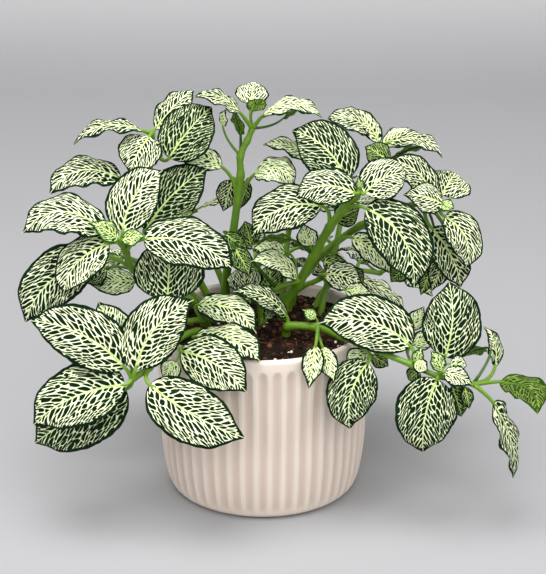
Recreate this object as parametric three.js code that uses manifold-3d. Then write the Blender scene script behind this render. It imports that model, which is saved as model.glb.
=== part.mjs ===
// Potted nerve plant: leafy stems with net-veined leaves, in soil, in a fluted stoneware pot.
// Millimetres, +Z up. The origin is the centre of the pot's flat foot.
// +X is to the right and +Y is away for someone who looks at the front of the plant.

import * as THREE from "three";
import { mergeVertices } from "three/addons/utils/BufferGeometryUtils.js";
import Module from "manifold-3d";

const wasm = await Module();
wasm.setup();

// Pot
const POT_HEIGHT = 105;
const RIM_RADIUS = 65;
const RIM_EDGE = 1.3;
const RIM_BAND = 6.5;
const BELLY_RADIUS = 62;
const BELLY_HEIGHT = 42;
const FOOT_RADIUS = 54;
const FOOT_HEIGHTS = [0, 2, 8, 20];
const FLARE_POWER = 1.3;
const WALL = 4.5;
const FLOOR = 6;
const FLUTES = 48;
const FLUTE_DEPTH = 1.1;
const FLUTE_END = 3.5;

// Soil
const SOIL_LEVEL = 98;
const SOIL_MOUND = 1.5;
const SOIL_GAP = 0.4;
const CRUMB_HEIGHT = 0.9;
const CRUMB_SPACING = 9;
const SOIL_SEGMENTS = 28;

// Stems and leaf stalks
const ROOT_HEIGHT = 66;
const HOLE_HEIGHT = 65.6;
const HOLE_GAP = 0.35;
const ROOT_LEAN = 0.85;
const STEM_SIDES = 5;
const NODE_SWELL = 1.22;
const BUD_LENGTH = 2.5;
const STALK_RADII = [1.5, 0.95];
const STALK_ROOT = 0.8;
const STALK_LEAN = 0.45;
const LONG_STALK = 12;

// Leaf blades
const BLADE_THICKNESS = 0.7;
const LARGE_LEAF = 34;
const SMALL_LEAF = 30;
const TINY_LEAF = 12;
const OUTLINE_BASE = 0.55;
const OUTLINE_TIP = 0.7;
const CUP = 0.1;
const EDGE_WAVE = 0.035;
const WAVES = 2.5;

// The ways that a leaf's upper face looks, as plain directions
const FRONT = [0, -2, 1];
const TILTED = [0, -1, 1];
const RAISED = [0, -1, 2];
const LEVEL = [0, -1, 4];

// Each stem has its radii at soil and top, and the points of its path, which are its nodes.
// Each leaf has: node, base of the blade, tip, width, look, rise of the arch, sideways bow.
const STEMS = {
  stem_front_left: {
    radii: [2.4, 1.9],
    path: [[-29, -22, 103], [-38, -28, 108], [-49, -41, 109], [-60, -55, 105], [-64, -61, 100], [-73, -67, 96]],
    leaves: [
      [5, [-77, -68, 103], [-130, -64, 130], 33, FRONT, 4, -6],
      [5, [-77, -71, 94], [-130, -77, 71], 35, FRONT, 4, -5],
      [5, [-77, -64, 88], [-133, -60, 51], 40, FRONT, 3, -1],
      [5, [-71, -70, 103], [-38, -60, 141], 33, FRONT, 3, 6],
      [4, [-63, -73, 95], [-9, -86, 68], 34, FRONT, 3, -3],
      [5, [-75, -59, 103], [-93, -47, 135], 25, FRONT, 2, 0],
    ],
  },
  stem_left: {
    radii: [2.4, 1.8],
    path: [[-34, -4, 105], [-43, -8, 120], [-57, -13, 131], [-75, -18, 143], [-78, -26, 157], [-80, -31, 164]],
    leaves: [
      [5, [-89, -36, 173], [-136, -40, 174], 31, RAISED, 11, -5],
      [5, [-86, -40, 167], [-112, -54, 142], 27, [-1, -2, 1], 3, -5],
      [5, [-79, -32, 171], [-56, -24, 205], 29, FRONT, 2, 5],
      [4, [-67, -36, 168], [-16, -50, 156], 31, TILTED, 5, 5],
      [5, [-81, -38, 169], [-97, -42, 181], 13, TILTED, 2, 0],
      [5, [-79, -36, 168], [-65, -38, 171], 11, TILTED, 1, 0],
      [3, [-96, -22, 152], [-139, -26, 112], 32, FRONT, 3, -7],
      [3, [-91, -16, 143], [-106, -20, 135], 16, TILTED, 2, 0],
      [2, [-75, -10, 132], [-102, -14, 133], 18, TILTED, 3, 0],
    ],
  },
  stem_upper_left: {
    radii: [2.4, 1.7],
    path: [[-31, 10, 108], [-40, 8, 130], [-53, 6, 152], [-65, 6, 174], [-66, 7, 192], [-64, 8, 207], [-64, 8, 217]],
    leaves: [
      [6, [-69, 4, 220], [-110, -6, 215], 16, LEVEL, 8, 0],
      [6, [-65, 2, 217], [-76, -16, 201], 26, TILTED, 3, 0],
      [6, [-62, 12, 219], [-40, 24, 240], 20, RAISED, 3, -1],
      [5, [-54, 2, 204], [-29, 14, 232], 31, FRONT, 3, 1],
      [3, [-68, -4, 162], [-32, 6, 197], 32, FRONT, 3, 3],
      [4, [-82, -2, 193], [-123, -14, 188], 25, RAISED, 8, -5],
      [3, [-50, 0, 171], [-37, -2, 173], 12, RAISED, 2, 0],
    ],
  },
  stem_tall: {
    radii: [2.9, 1.6],
    path: [
      [-23, 24, 107], [-21, 20, 133], [-18, 18, 151], [-15, 16, 173],
      [-13, 16, 189], [-13, 16, 201], [-9, 17, 210], [-6, 18, 217],
    ],
    leaves: [
      [7, [-7, 20, 231], [-5, 34, 242], 20, TILTED, 2, 0],
      [7, [-6, 16, 228], [0, 6, 239], 12, [0, 1, 1], 1, 0],
      [7, [-13, 14, 228], [-40, 12, 239], 18, LEVEL, 5, 0],
      [5, [-23, 10, 221], [-21, 8, 232], 9, [-1, -1, 1], 1, 0],
      [5, [-13, 20, 213], [-17, 12, 231], 11, [1, 1, 0], 1, 0],
      [7, [0, 16, 225], [36, 12, 226], 19, LEVEL, 9, 0],
      [7, [12, 26, 221], [23, 32, 225], 9, [0, 1, 1], 1, 0],
      [3, [-24, 14, 195], [-52, 22, 201], 19, RAISED, 4, 0],
      [3, [-5, 18, 189], [19, 6, 185], 23, RAISED, 8, 3],
      [3, [-18, 26, 183], [-24, 22, 164], 15, FRONT, 1, 0],
      [3, [-9, 24, 183], [-14, 26, 164], 9, FRONT, 1, 0],
      [2, [-22, 10, 155], [-8, 6, 142], 12, TILTED, 1, 0],
      [2, [-7, 22, 143], [-11, 28, 157], 15, FRONT, 1, 0],
    ],
  },
  stem_right_front: {
    radii: [3.2, 2.0],
    path: [
      [13, 12, 108], [21, 9, 123], [30, 5, 143], [39, -2, 163],
      [47, -9, 177], [53, -14, 186], [56, -16, 191],
    ],
    leaves: [
      [6, [48, -10, 195], [16, 6, 220], 32, FRONT, 3, -5],
      [6, [53, -20, 190], [18, -24, 189], 25, TILTED, 4, -4],
      [6, [58, -20, 190], [84, -10, 199], 25, FRONT, 3, 3],
      [3, [34, -4, 177], [-7, -12, 161], 29, TILTED, 6, -6],
      [4, [59, -20, 181], [86, -42, 140], 33, FRONT, 3, 9],
      [6, [56, -18, 192], [54, -20, 200], 6, [0, -1, 0], 1, 0],
      [4, [30, 16, 196], [-1, 22, 207], 13, RAISED, 6, -1],
      [2, [17, 2, 154], [-3, -2, 155], 12, [0, 1, 1], 2, 0],
      [2, [28, 0, 151], [23, -2, 166], 13, [0, -1, 0], 1, 0],
      [3, [43, 16, 162], [58, 22, 167], 16, FRONT, 1, 0],
    ],
  },
  stem_upper_right: {
    radii: [2.4, 1.7],
    path: [[18, 36, 103], [28, 37, 125], [42, 36, 152], [57, 30, 176], [66, 25, 195], [69, 23, 204]],
    leaves: [
      [5, [63, 24, 214], [37, 22, 223], 20, RAISED, 5, 0],
      [5, [68, 20, 208], [50, 30, 226], 12, TILTED, 2, -2],
      [5, [71, 28, 204], [93, 36, 210], 16, RAISED, 3, 0],
      [5, [74, 20, 208], [107, 16, 200], 18, LEVEL, 8, 0],
      [4, [79, 30, 197], [100, 24, 203], 15, [0, 1, 2], 3, 0],
      [4, [73, 10, 199], [59, 14, 208], 17, TILTED, 2, 0],
    ],
  },
  stem_right: {
    radii: [2.6, 1.8],
    path: [
      [16, 27, 104], [26, 27, 124], [37, 27, 137], [58, 18, 157],
      [79, 4, 172], [94, 0, 178], [102, -3, 178],
    ],
    leaves: [
      [6, [99, -1, 181], [73, 1, 204], 20, TILTED, 3, -4],
      [6, [104, 4, 181], [115, 24, 189], 28, TILTED, 3, 0],
      [6, [104, -7, 179], [80, -9, 186], 20, TILTED, 4, 0],
      [6, [105, -8, 172], [118, -18, 143], 24, [1, -2, 1], 3, 6],
      [5, [99, 2, 161], [117, -4, 125], 22, FRONT, 2, 3],
      [5, [108, 10, 140], [100, 6, 119], 14, FRONT, 1, 0],
      [5, [100, 12, 131], [94, 8, 116], 9, FRONT, 1, 0],
      [6, [103, -6, 179], [111, -9, 177], 9, TILTED, 1, 0],
      [3, [85, 14, 133], [76, 10, 124], 12, FRONT, 1, 0],
    ],
  },
  stem_trailing: {
    radii: [2.9, 1.3],
    path: [
      [14, -12, 103], [15, -15, 106], [32, -24, 109], [45, -38, 109.5], [56, -46, 108],
      [85, -60, 101], [99, -66, 97], [119, -66, 92],
    ],
    leaves: [
      [5, [84, -54, 110], [31, -54, 124], 32, FRONT, 3, -8],
      [4, [60, -56, 101], [50, -68, 64], 29, FRONT, 3, -5],
      [6, [103, -58, 105], [105, -46, 147], 34, FRONT, 3, -3],
      [6, [98, -70, 97], [91, -78, 54], 35, FRONT, 3, -3],
      [6, [101, -69, 102], [94, -68, 114], 10, TILTED, 1, 0],
      [6, [102, -71, 102], [118, -76, 96], 13, TILTED, 2, 0],
      [6, [106, -62, 103], [116, -60, 101], 11, FRONT, 1, 0],
      [5, [86, -61, 103], [90, -60, 113], 7, FRONT, 1, 0],
      [5, [86, -64, 105], [93, -68, 100], 9, FRONT, 1, 0],
      [7, [108, -58, 87], [115, -54, 65], 17, FRONT, 1, 0],
      [7, [114, -68, 91], [117, -70, 78], 8, FRONT, 1, 0],
      [7, [135, -60, 91], [159, -46, 65], 21, [0, 2, 1], 3, -7],
      [7, [131, -66, 80], [146, -70, 34], 25, [2, -1, 1], 2, 4],
      [7, [133, -50, 96], [126, -44, 119], 13, [1, -1, 1], 2, -3],
      [7, [127, -44, 105], [115, -36, 96], 14, [0, 1, 1], 1, 0],
      [2, [30, -58, 112], [26, -71, 91], 13, FRONT, 1, 0],
      [2, [34, -55, 110], [41, -66, 92], 12, FRONT, 1, 0],
      [4, [59, -48, 103], [47, -53, 96], 15, FRONT, 1, 0],
      [4, [63, -46, 101], [73, -44, 93], 10, FRONT, 1, 0],
      [5, [89, -54, 95], [83, -50, 87], 10, FRONT, 1, 0],
      [5, [87, -42, 106], [99, -34, 109], 12, FRONT, 1, 0],
      [5, [85, -36, 113], [93, -32, 126], 11, FRONT, 1, 0],
      [1, [14, -14, 112], [-17, -22, 132], 18, RAISED, 5, -2],
      [2, [31, -22, 114], [23, -20, 119], 8, TILTED, 1, 0],
    ],
  },
  stem_front_short: {
    radii: [2.2, 1.6],
    path: [[-32, -14, 104], [-35, -18, 111], [-45, -28, 115], [-52, -36, 124]],
    leaves: [
      [3, [-54, -40, 133], [-53, -8, 159], 41, TILTED, 3, 0],
      [1, [-38, -16, 120], [-3, -38, 112], 24, RAISED, 5, 4],
    ],
  },
  stem_front_rim: {
    radii: [2.0, 1.4],
    path: [[-22, -31, 103], [-28, -36, 107], [-37, -44, 108], [-46, -51, 107]],
    leaves: [
      [1, [-39, -40, 110], [-1, -70, 109], 25, RAISED, 4, 4],
      [3, [-46, -54, 107], [-9, -79, 93], 30, FRONT, 3, 4],
      [3, [-49, -57, 102], [-56, -62, 92], 13, TILTED, 1, 0],
    ],
  },
  stem_centre: {
    radii: [2.0, 1.4],
    path: [[-1, 2, 104], [-1, 2, 116], [8, 0, 124], [20, -1, 129]],
    leaves: [
      [3, [20, -2, 131], [-7, -8, 145], 18, RAISED, 5, -3],
      [1, [-10, 2, 122], [-12, 8, 137], 22, FRONT, 1, 0],
      [1, [-8, -6, 121], [-15, -8, 115], 11, TILTED, 1, 0],
      [2, [-16, -4, 151], [-7, -10, 135], 13, TILTED, 1, 0],
      [3, [13, 12, 143], [-6, 8, 147], 15, TILTED, 1, 0],
      [0, [2, -14, 110], [8, -10, 118], 8, TILTED, 1, 0],
      [0, [-6, -9, 108], [-10, -14, 117], 7, TILTED, 1, 0],
      [1, [2, 16, 114], [6, 31, 130], 17, TILTED, 2, 0],
      [1, [-5, 12, 114], [-14, 28, 125], 14, TILTED, 2, 0],
    ],
  },
  stem_low_right: {
    radii: [2.0, 1.4],
    path: [[10, 22, 105], [22, 19, 117], [35, 16, 125], [41, 18, 137]],
    leaves: [
      [2, [37, 8, 130], [60, 0, 125], 20, TILTED, 2, 2],
      [3, [53, 14, 151], [76, 6, 131], 17, TILTED, 2, 3],
      [3, [52, 20, 128], [61, 16, 121], 11, FRONT, 1, 0],
      [3, [36, 14, 136], [52, 12, 132], 13, TILTED, 1, 0],
      [2, [49, -2, 124], [65, -8, 124], 12, TILTED, 1, 0],
    ],
  },
};

// Stems of the hidden side: opposite pairs of leaves, each pair turned a quarter round from the last.
// Each has its path, the heading of its lowest pair in degrees, its leaf length and its seed.
const BACK_STEMS = {
  stem_back_left: {
    path: [[-36, 22, 103], [-56, 38, 114], [-78, 50, 122], [-96, 58, 126]],
    heading: 22,
    leaf: 48,
    seed: 3,
  },
  stem_back_centre: {
    path: [[-2, 44, 103], [-4, 62, 114], [-5, 82, 118], [-6, 98, 115]],
    heading: 110,
    leaf: 46,
    seed: 5,
  },
  stem_back_right: {
    path: [[34, 36, 103], [45, 50, 110], [58, 66, 110], [74, 78, 104]],
    heading: 65,
    leaf: 42,
    seed: 8,
  },
  stem_back_upper_left: {
    path: [[-22, 38, 103], [-34, 46, 132], [-46, 51, 154], [-54, 53, 172]],
    heading: 0,
    leaf: 38,
    seed: 13,
  },
  stem_back_upper_middle: {
    path: [[12, 50, 103], [14, 58, 124], [16, 63, 140], [17, 65, 150]],
    heading: 105,
    leaf: 36,
    seed: 23,
  },
  stem_back_upper_right: {
    path: [[36, 25, 103], [44, 44, 132], [49, 56, 154], [52, 62, 172]],
    heading: 30,
    leaf: 38,
    seed: 17,
  },
};
const BACK_RADII = [2.2, 1.5];
const PAIR_STALK = 9;
const PAIR_RISE = 4;
const PAIR_WIDTH = 0.62;
const PAIR_ARCH = 0.1;
const INWARD_SHARE = 0.6;
const DROOP_OUTWARD = 0.5;

const vector = ([x, y, z]) => new THREE.Vector3(x, y, z);

function seededRandom(seed) {
  let state = seed * 2654435761;
  return () => {
    state = (state * 1664525 + 1013904223) % 4294967296;
    return state / 4294967296;
  };
}

// A closed geometry from a list of points and a list of corner triples
function closedGeometry(points, corners) {
  const geometry = new THREE.BufferGeometry();
  geometry.setAttribute("position", new THREE.Float32BufferAttribute(points.flatMap((p) => p.toArray()), 3));
  geometry.setIndex(corners.flat());
  return geometry;
}

function solidFrom(geometry) {
  const bare = geometry.clone();
  bare.deleteAttribute("normal");
  bare.deleteAttribute("uv");
  const merged = mergeVertices(bare, 1e-4);
  const mesh = new wasm.Mesh({
    numProp: 3,
    vertProperties: new Float32Array(merged.attributes.position.array),
    triVerts: new Uint32Array(merged.index.array),
  });
  return new wasm.Manifold(mesh);
}

function geometryFrom(solid) {
  const mesh = solid.getMesh();
  const geometry = new THREE.BufferGeometry();
  geometry.setAttribute("position", new THREE.BufferAttribute(mesh.vertProperties, 3));
  geometry.setIndex(new THREE.BufferAttribute(mesh.triVerts, 1));
  geometry.computeVertexNormals();
  return geometry;
}

// Leaf blade
// The midrib is an arc from base to tip, and the outline is an egg shape with a short point.
const OUTLINE_PEAK = OUTLINE_BASE / (OUTLINE_BASE + OUTLINE_TIP);
const outlineRaw = (t) => Math.pow(t, OUTLINE_BASE) * Math.pow(1 - t, OUTLINE_TIP);
const outline = (t) => outlineRaw(t) / outlineRaw(OUTLINE_PEAK);

function bladeFrame([, base, tip, width, look, arch, bow]) {
  const start = vector(base);
  const chord = vector(tip).sub(start);
  const length = chord.length();
  const along = chord.clone().normalize();
  const up = vector(look);
  up.addScaledVector(along, -up.dot(along)).normalize();
  const side = up.clone().cross(along);
  const phase = (base[0] * 1.7 + base[2] * 0.9 + tip[1]) % (2 * Math.PI);
  const offset = (t) => up.clone().multiplyScalar(arch).addScaledVector(side, bow).multiplyScalar(t);
  const midrib = (t) => start.clone().addScaledVector(chord, t).add(offset(4 * t * (1 - t)));
  const tangent = (t) => chord.clone().add(offset(4 * (1 - 2 * t))).normalize();
  const face = (t) => up.clone().addScaledVector(tangent(t), -up.dot(tangent(t))).normalize();
  const surface = (t, across) => {
    const half = (width / 2) * outline(t) * Math.abs(across);
    const hand = Math.sign(across);
    const wave = EDGE_WAVE * length * across * across * Math.sin(2 * Math.PI * WAVES * t + phase + hand);
    const lift = (wave - CUP * half * Math.abs(across)) * outline(t);
    const sideways = face(t).cross(tangent(t));
    return midrib(t).addScaledVector(sideways, hand * half).addScaledVector(face(t), lift);
  };
  return { length, surface, face, midrib, tangent };
}

// The section of a blade at one station: upper face from left to right, then lower face back
function bladeRing({ surface, face }, t, thin) {
  const raise = face(t).multiplyScalar(BLADE_THICKNESS / 2);
  if (thin) {
    const middle = raise.clone().multiplyScalar(2);
    return [surface(t, 1), surface(t, 0).add(middle), surface(t, -1), surface(t, 0).sub(middle)];
  }
  const columns = [1, 0, -1].map((across) => surface(t, across));
  const upper = columns.map((point) => point.clone().add(raise));
  const lower = columns.toReversed().map((point) => point.clone().sub(raise));
  return [...upper, ...lower];
}

// The section of a round stalk, with its corners in the same order as a blade's section
function stalkRing(centre, direction, up, radius, corners) {
  const right = direction.clone().cross(up);
  const first = corners === 4 ? 180 : 150;
  return Array.from({ length: corners }, (_, i) => {
    const angle = THREE.MathUtils.degToRad(first - (360 / corners) * i);
    return centre.clone()
      .addScaledVector(right, radius * Math.cos(angle))
      .addScaledVector(up, radius * Math.sin(angle));
  });
}

// Joins rings of equal count into one closed skin, flat at the first ring, with an optional tip.
// Upper and lower halves are split along the same diagonals.
function loft(rings, tip = null) {
  const count = rings[0].length;
  const points = rings.flat();
  const corners = [];
  const last = (rings.length - 1) * count;
  for (let i = 0; i < count; i += 1) {
    const j = (i + 1) % count;
    for (let a = 0; a < last; a += count) {
      const b = a + count;
      if (i < count / 2) {
        corners.push([a + i, a + j, b + i], [a + j, b + j, b + i]);
      } else {
        corners.push([a + i, a + j, b + j], [a + i, b + j, b + i]);
      }
    }
    if (i > 0 && i < count - 1) {
      corners.push([0, j, i]);
      if (!tip) {
        corners.push([last, last + i, last + j]);
      }
    }
    if (tip) {
      corners.push([last + i, last + j, points.length]);
    }
  }
  return closedGeometry(tip ? [...points, tip] : points, corners);
}

// One leaf: its stalk, which starts beside the middle of the stem's node, and its blade
function leafGeometry(node, leaf) {
  const frame = bladeFrame(leaf);
  const { midrib, tangent, face, length } = frame;
  const thin = length < SMALL_LEAF;
  const corners = thin ? 4 : 6;
  const joint = midrib(0);
  const start = vector(node);
  start.addScaledVector(joint.clone().sub(start).normalize(), STALK_ROOT);
  const reach = start.distanceTo(joint);
  const lean = joint.clone().addScaledVector(tangent(0), -reach * STALK_LEAN);
  const curve = new THREE.QuadraticBezierCurve3(start, lean, joint);
  const steps = reach > LONG_STALK ? 2 : 1;
  const rings = [];
  let up = face(0);
  for (let i = steps; i >= 0; i -= 1) {
    const share = i / steps;
    const direction = curve.getTangent(share);
    up = up.clone().addScaledVector(direction, -up.dot(direction)).normalize();
    const radius = THREE.MathUtils.lerp(STALK_RADII[0], STALK_RADII[1], share);
    rings.unshift(stalkRing(curve.getPoint(share), direction, up, radius, corners));
  }
  const usual = length < TINY_LEAF ? [0.25, 0.65] : [0.12, 0.45, 0.8];
  const stations = length < LARGE_LEAF ? usual : [0.08, 0.3, 0.58, 0.85];
  rings.push(...stations.map((t) => bladeRing(frame, t, thin)));
  return loft(rings, midrib(1));
}

function stemCurve(path) {
  const [x, y] = path[0];
  const root = new THREE.Vector3(x * ROOT_LEAN, y * ROOT_LEAN, ROOT_HEIGHT);
  return new THREE.CatmullRomCurve3([root, ...path.map(vector)]);
}

// A stem's skin, swollen at each node and with a bud at its end, or the plain hole round its root
function stemGeometry({ path, radii }, grow = 0, lowest = ROOT_HEIGHT, top = path.length) {
  const curve = stemCurve(path);
  const rings = [];
  let up = new THREE.Vector3(0, 1, 0);
  for (let i = 0; i <= top * 2; i += 1) {
    const share = i / (path.length * 2);
    const direction = curve.getTangent(share);
    const centre = curve.getPoint(share);
    if (i === 0) {
      centre.z = lowest;
    }
    up = up.clone().addScaledVector(direction, -up.dot(direction)).normalize();
    const swell = i % 2 === 0 && i > 2 ? NODE_SWELL : 1;
    const radius = THREE.MathUtils.lerp(radii[0], radii[1], share) * swell + grow;
    rings.push(stalkRing(centre, direction, up, radius, STEM_SIDES));
  }
  const bud = curve.getPoint(1).addScaledVector(curve.getTangent(1), BUD_LENGTH);
  return loft(rings, top < path.length ? null : bud);
}

function leafyStem(stem) {
  const leaves = stem.leaves.map((leaf) => solidFrom(leafGeometry(stem.path[leaf[0]], leaf)));
  return wasm.Manifold.union([solidFrom(stemGeometry(stem)), ...leaves]);
}

// Opposite pairs for a stem of the hidden side, with seeded differences between leaves
function pairedLeaves({ path, heading, leaf, seed }) {
  const random = seededRandom(seed);
  const rows = [];
  for (let node = 1; node < path.length; node += 1) {
    const size = leaf * (1.05 - 0.12 * node);
    for (const turn of [0, 180]) {
      const angle = THREE.MathUtils.degToRad(heading + 90 * node + turn + 20 * (random() - 0.5));
      const out = new THREE.Vector3(Math.cos(angle), Math.sin(angle), 0);
      const inward = out.x * path[node][0] + out.y * path[node][1] < 0;
      const length = size * (0.9 + 0.2 * random()) * (inward ? INWARD_SHARE : 1);
      const base = vector(path[node]).addScaledVector(out, PAIR_STALK);
      base.z += PAIR_RISE;
      const tip = base.clone().addScaledVector(out, length);
      tip.z += length * (0.2 * random() - (inward ? 0 : DROOP_OUTWARD));
      rows.push([node, base.toArray(), tip.toArray(), length * PAIR_WIDTH, [0, 0, 1], length * PAIR_ARCH, 0]);
    }
  }
  return rows;
}

// Pot
const grooveShare = (index) => (index % 2 === 0 ? 1 : 0);

function outerRadius(z) {
  if (z < BELLY_HEIGHT) {
    const left = 1 - z / BELLY_HEIGHT;
    return FOOT_RADIUS + (BELLY_RADIUS - FOOT_RADIUS) * Math.sqrt(1 - left * left);
  }
  const share = Math.min((z - BELLY_HEIGHT) / (POT_HEIGHT - RIM_BAND - BELLY_HEIGHT), 1);
  return BELLY_RADIUS + (RIM_RADIUS - BELLY_RADIUS) * Math.pow(share, FLARE_POWER);
}

const innerProfile = [
  [outerRadius(FLOOR) - WALL - 1, FLOOR],
  [outerRadius(BELLY_HEIGHT) - WALL, BELLY_HEIGHT],
  [RIM_RADIUS - WALL, POT_HEIGHT - RIM_BAND],
];

function potGeometry() {
  const fluteTop = POT_HEIGHT - RIM_BAND;
  const heights = [...FOOT_HEIGHTS, BELLY_HEIGHT, fluteTop - FLUTE_END, fluteTop];
  const outer = heights.map((z) => [outerRadius(z), z]);
  const rim = [
    [RIM_RADIUS, POT_HEIGHT - RIM_EDGE],
    [RIM_RADIUS - RIM_EDGE, POT_HEIGHT],
    [RIM_RADIUS - WALL + RIM_EDGE, POT_HEIGHT],
    [RIM_RADIUS - WALL, POT_HEIGHT - RIM_EDGE],
  ];
  const profile = [[0, 0], ...outer, ...rim, ...innerProfile.toReversed(), [0, FLOOR]];
  const segments = FLUTES * 2;
  const geometry = new THREE.LatheGeometry(profile.map(([r, z]) => new THREE.Vector2(r, z)), segments);
  const position = geometry.attributes.position;
  const rings = profile.length;
  for (let i = 0; i <= segments; i += 1) {
    for (let k = 2; k < heights.length; k += 1) {
      const index = i * rings + k;
      const depth = FLUTE_DEPTH * grooveShare(i % segments);
      const scale = (profile[k][0] - depth) / profile[k][0];
      position.setX(index, position.getX(index) * scale);
      position.setZ(index, position.getZ(index) * scale);
    }
  }
  return geometry.rotateX(Math.PI / 2);
}

// Soil
function crumbs(x, y) {
  const wave = Math.sin(x / CRUMB_SPACING * 4.1 + 1) * Math.cos(y / CRUMB_SPACING * 3.7);
  const small = Math.sin((x + y) / CRUMB_SPACING * 6.3) * Math.cos((x - 2 * y) / CRUMB_SPACING * 5.2);
  return CRUMB_HEIGHT * (0.6 * wave + 0.4 * small);
}

function soilGeometry() {
  const rings = [0.97, 0.68, 0.36];
  const lower = innerProfile.map(([r, z]) => [r - SOIL_GAP, z]);
  lower[0][1] += SOIL_GAP;
  const edge = RIM_RADIUS - WALL - SOIL_GAP - 0.1;
  lower[2] = [edge, SOIL_LEVEL - 1.5];
  const top = rings.map((share) => [edge * share, SOIL_LEVEL + SOIL_MOUND * (1 - share)]);
  const profile = [[0, FLOOR + SOIL_GAP], ...lower, ...top, [0, SOIL_LEVEL + SOIL_MOUND]];
  const points = profile.map(([r, z]) => new THREE.Vector2(r, z));
  const geometry = new THREE.LatheGeometry(points, SOIL_SEGMENTS).rotateX(Math.PI / 2);
  const position = geometry.attributes.position;
  for (let i = 0; i < position.count; i += 1) {
    if (position.getZ(i) > SOIL_LEVEL - 1) {
      position.setZ(i, position.getZ(i) + crumbs(position.getX(i), position.getY(i)));
    }
  }
  return geometry;
}

function soilSolid(stems) {
  const holes = stems.map((stem) => solidFrom(stemGeometry(stem, HOLE_GAP, HOLE_HEIGHT, 1)));
  return solidFrom(soilGeometry()).subtract(wasm.Manifold.union(holes));
}

// The whole plant
const plant = new THREE.Group();

function place(name, geometry, color, roughness) {
  const mesh = new THREE.Mesh(geometry, new THREE.MeshStandardMaterial({ color, roughness, metalness: 0 }));
  mesh.name = name;
  plant.add(mesh);
}

const backStems = Object.entries(BACK_STEMS).map(([name, stem]) => [
  name,
  { path: stem.path, radii: BACK_RADII, leaves: pairedLeaves(stem) },
]);
const allStems = [...Object.entries(STEMS), ...backStems];

place("pot", potGeometry(), 0xe2d6cb, 0.45);
place("soil", geometryFrom(soilSolid(allStems.map(([, stem]) => stem))), 0x2a1a12, 0.95);
for (const [name, stem] of allStems) {
  place(name, geometryFrom(leafyStem(stem)), 0x3f6b35, 0.5);
}

export default plant;
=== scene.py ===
"""Potted nerve plant: leafy stems with net-veined leaves, in crumbly soil, in a fluted stoneware pot.

Sizes are in millimetres in the shape functions and in metres in the meshes.
+X is to the right and +Y is away for someone who looks at the front of the plant.
"""

import math
import random

import bmesh
import bpy
import numpy as np
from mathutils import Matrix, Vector


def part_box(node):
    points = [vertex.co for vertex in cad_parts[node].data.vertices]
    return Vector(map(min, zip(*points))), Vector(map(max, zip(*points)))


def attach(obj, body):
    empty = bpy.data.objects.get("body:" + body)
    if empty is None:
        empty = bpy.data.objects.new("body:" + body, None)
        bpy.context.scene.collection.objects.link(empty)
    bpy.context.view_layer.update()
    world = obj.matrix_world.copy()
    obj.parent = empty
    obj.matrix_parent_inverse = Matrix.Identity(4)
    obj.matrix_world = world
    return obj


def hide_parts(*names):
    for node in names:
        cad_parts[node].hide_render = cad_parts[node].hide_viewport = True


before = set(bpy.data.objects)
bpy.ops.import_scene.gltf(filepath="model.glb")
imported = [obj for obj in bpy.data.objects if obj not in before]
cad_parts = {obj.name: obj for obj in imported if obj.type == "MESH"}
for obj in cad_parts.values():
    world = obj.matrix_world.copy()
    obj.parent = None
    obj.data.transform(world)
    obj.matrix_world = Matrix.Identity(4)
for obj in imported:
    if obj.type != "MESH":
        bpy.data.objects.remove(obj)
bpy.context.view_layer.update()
POT_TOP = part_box("pot")[1]

bl_info = {
    "name": "Potted nerve plant",
    "version": (1, 0, 0),
    "blender": (4, 5, 0),
    "location": "3D View > Sidebar > Nerve plant",
    "description": "Builds a nerve plant with net-veined leaves in a fluted stoneware pot",
    "category": "Add Mesh",
}

MM = 0.001

# Camera and picture
PICTURE_HEIGHT = 574
FOCAL_PIXELS = 1775
SENSOR = 36
CAMERA_DISTANCE = 1050
CAMERA_PITCH = 21.4
CAMERA_REACH = 20
AIM = (6, 0, 125)

# Stage, in metres: the backdrop's floor, curve and wall, and the painted light that whitens it with height
BACKDROP_FRONT = -1.6
BACKDROP_BACK = 0.9
BACKDROP_CURVE = 0.6
CURVE_START = 0.1
CURVE_STEPS = 12
BACKDROP_TOP = 3.0
BACKDROP_SIDE = 3.0
# Painted light on the backdrop: the height over which it whitens, and the share of white at the top
PAINTED_LIGHT_HEIGHT = 0.12
PAINTED_LIGHT_SHARE = 0.48
WHITE = "#ffffff"
ROOM_LIGHT = "#fafafa"
PAPER_MOTTLE = 1.03
HORIZON_SHARE = 0.6
SKY_HEIGHT = 0.9

# Lights: name, its power in the settings, place and width
LIGHTS = (
    ("top_light", "key_power", (-0.2, -0.22, 1.4), 1.0),
    ("front_light", "fill_power", (0.25, -1.3, 1.0), 1.0),
    ("left_light", "side_power", (-1.25, -0.7, 0.75), 0.9),
    ("right_light", "side_power", (1.25, -0.5, 0.75), 0.9),
)

# Pot: other sizes are in its settings
RIM_BAND = 6.5
BAND_EDGE = 1.5
LIP = 1.9
LIP_STEPS = 6
BELLY_HEIGHT = 42
FOOT_EDGE = 8
FOOT_LIFT = 1.8
FOOT_BEVEL = 0.4
FLARE_POWER = 1.3
FLOOR = 6
CORNER_STEP = 1
FLUTE_SHARE = 0.72
FLUTE_HEAD = 5.0
FLUTE_FOOT = (0.5, 9.0)
SCOOP_POWER = 0.85
RUNOUT_POWER = 1.8
STEPS_PER_FLUTE = 18
# Rings of points up the rounded corner, the wall and the flute heads
POT_RINGS = (18, 16, 16)
# How far below and above the rim band's edge the rings of the flute heads reach
HEAD_ZONE = (7, 1)

# Soil
SOIL_LEVEL = 98
SOIL_MOUND = 1.5
SOIL_SHOULDER = 90
SOIL_EDGE_GAP = 0.5
SOIL_GAP = 0.4
SOIL_SINK = 1.4
SOIL_GRID = (260, 90)
SOIL_GRID_POWER = 0.75
SOIL_SEED = 21
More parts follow.
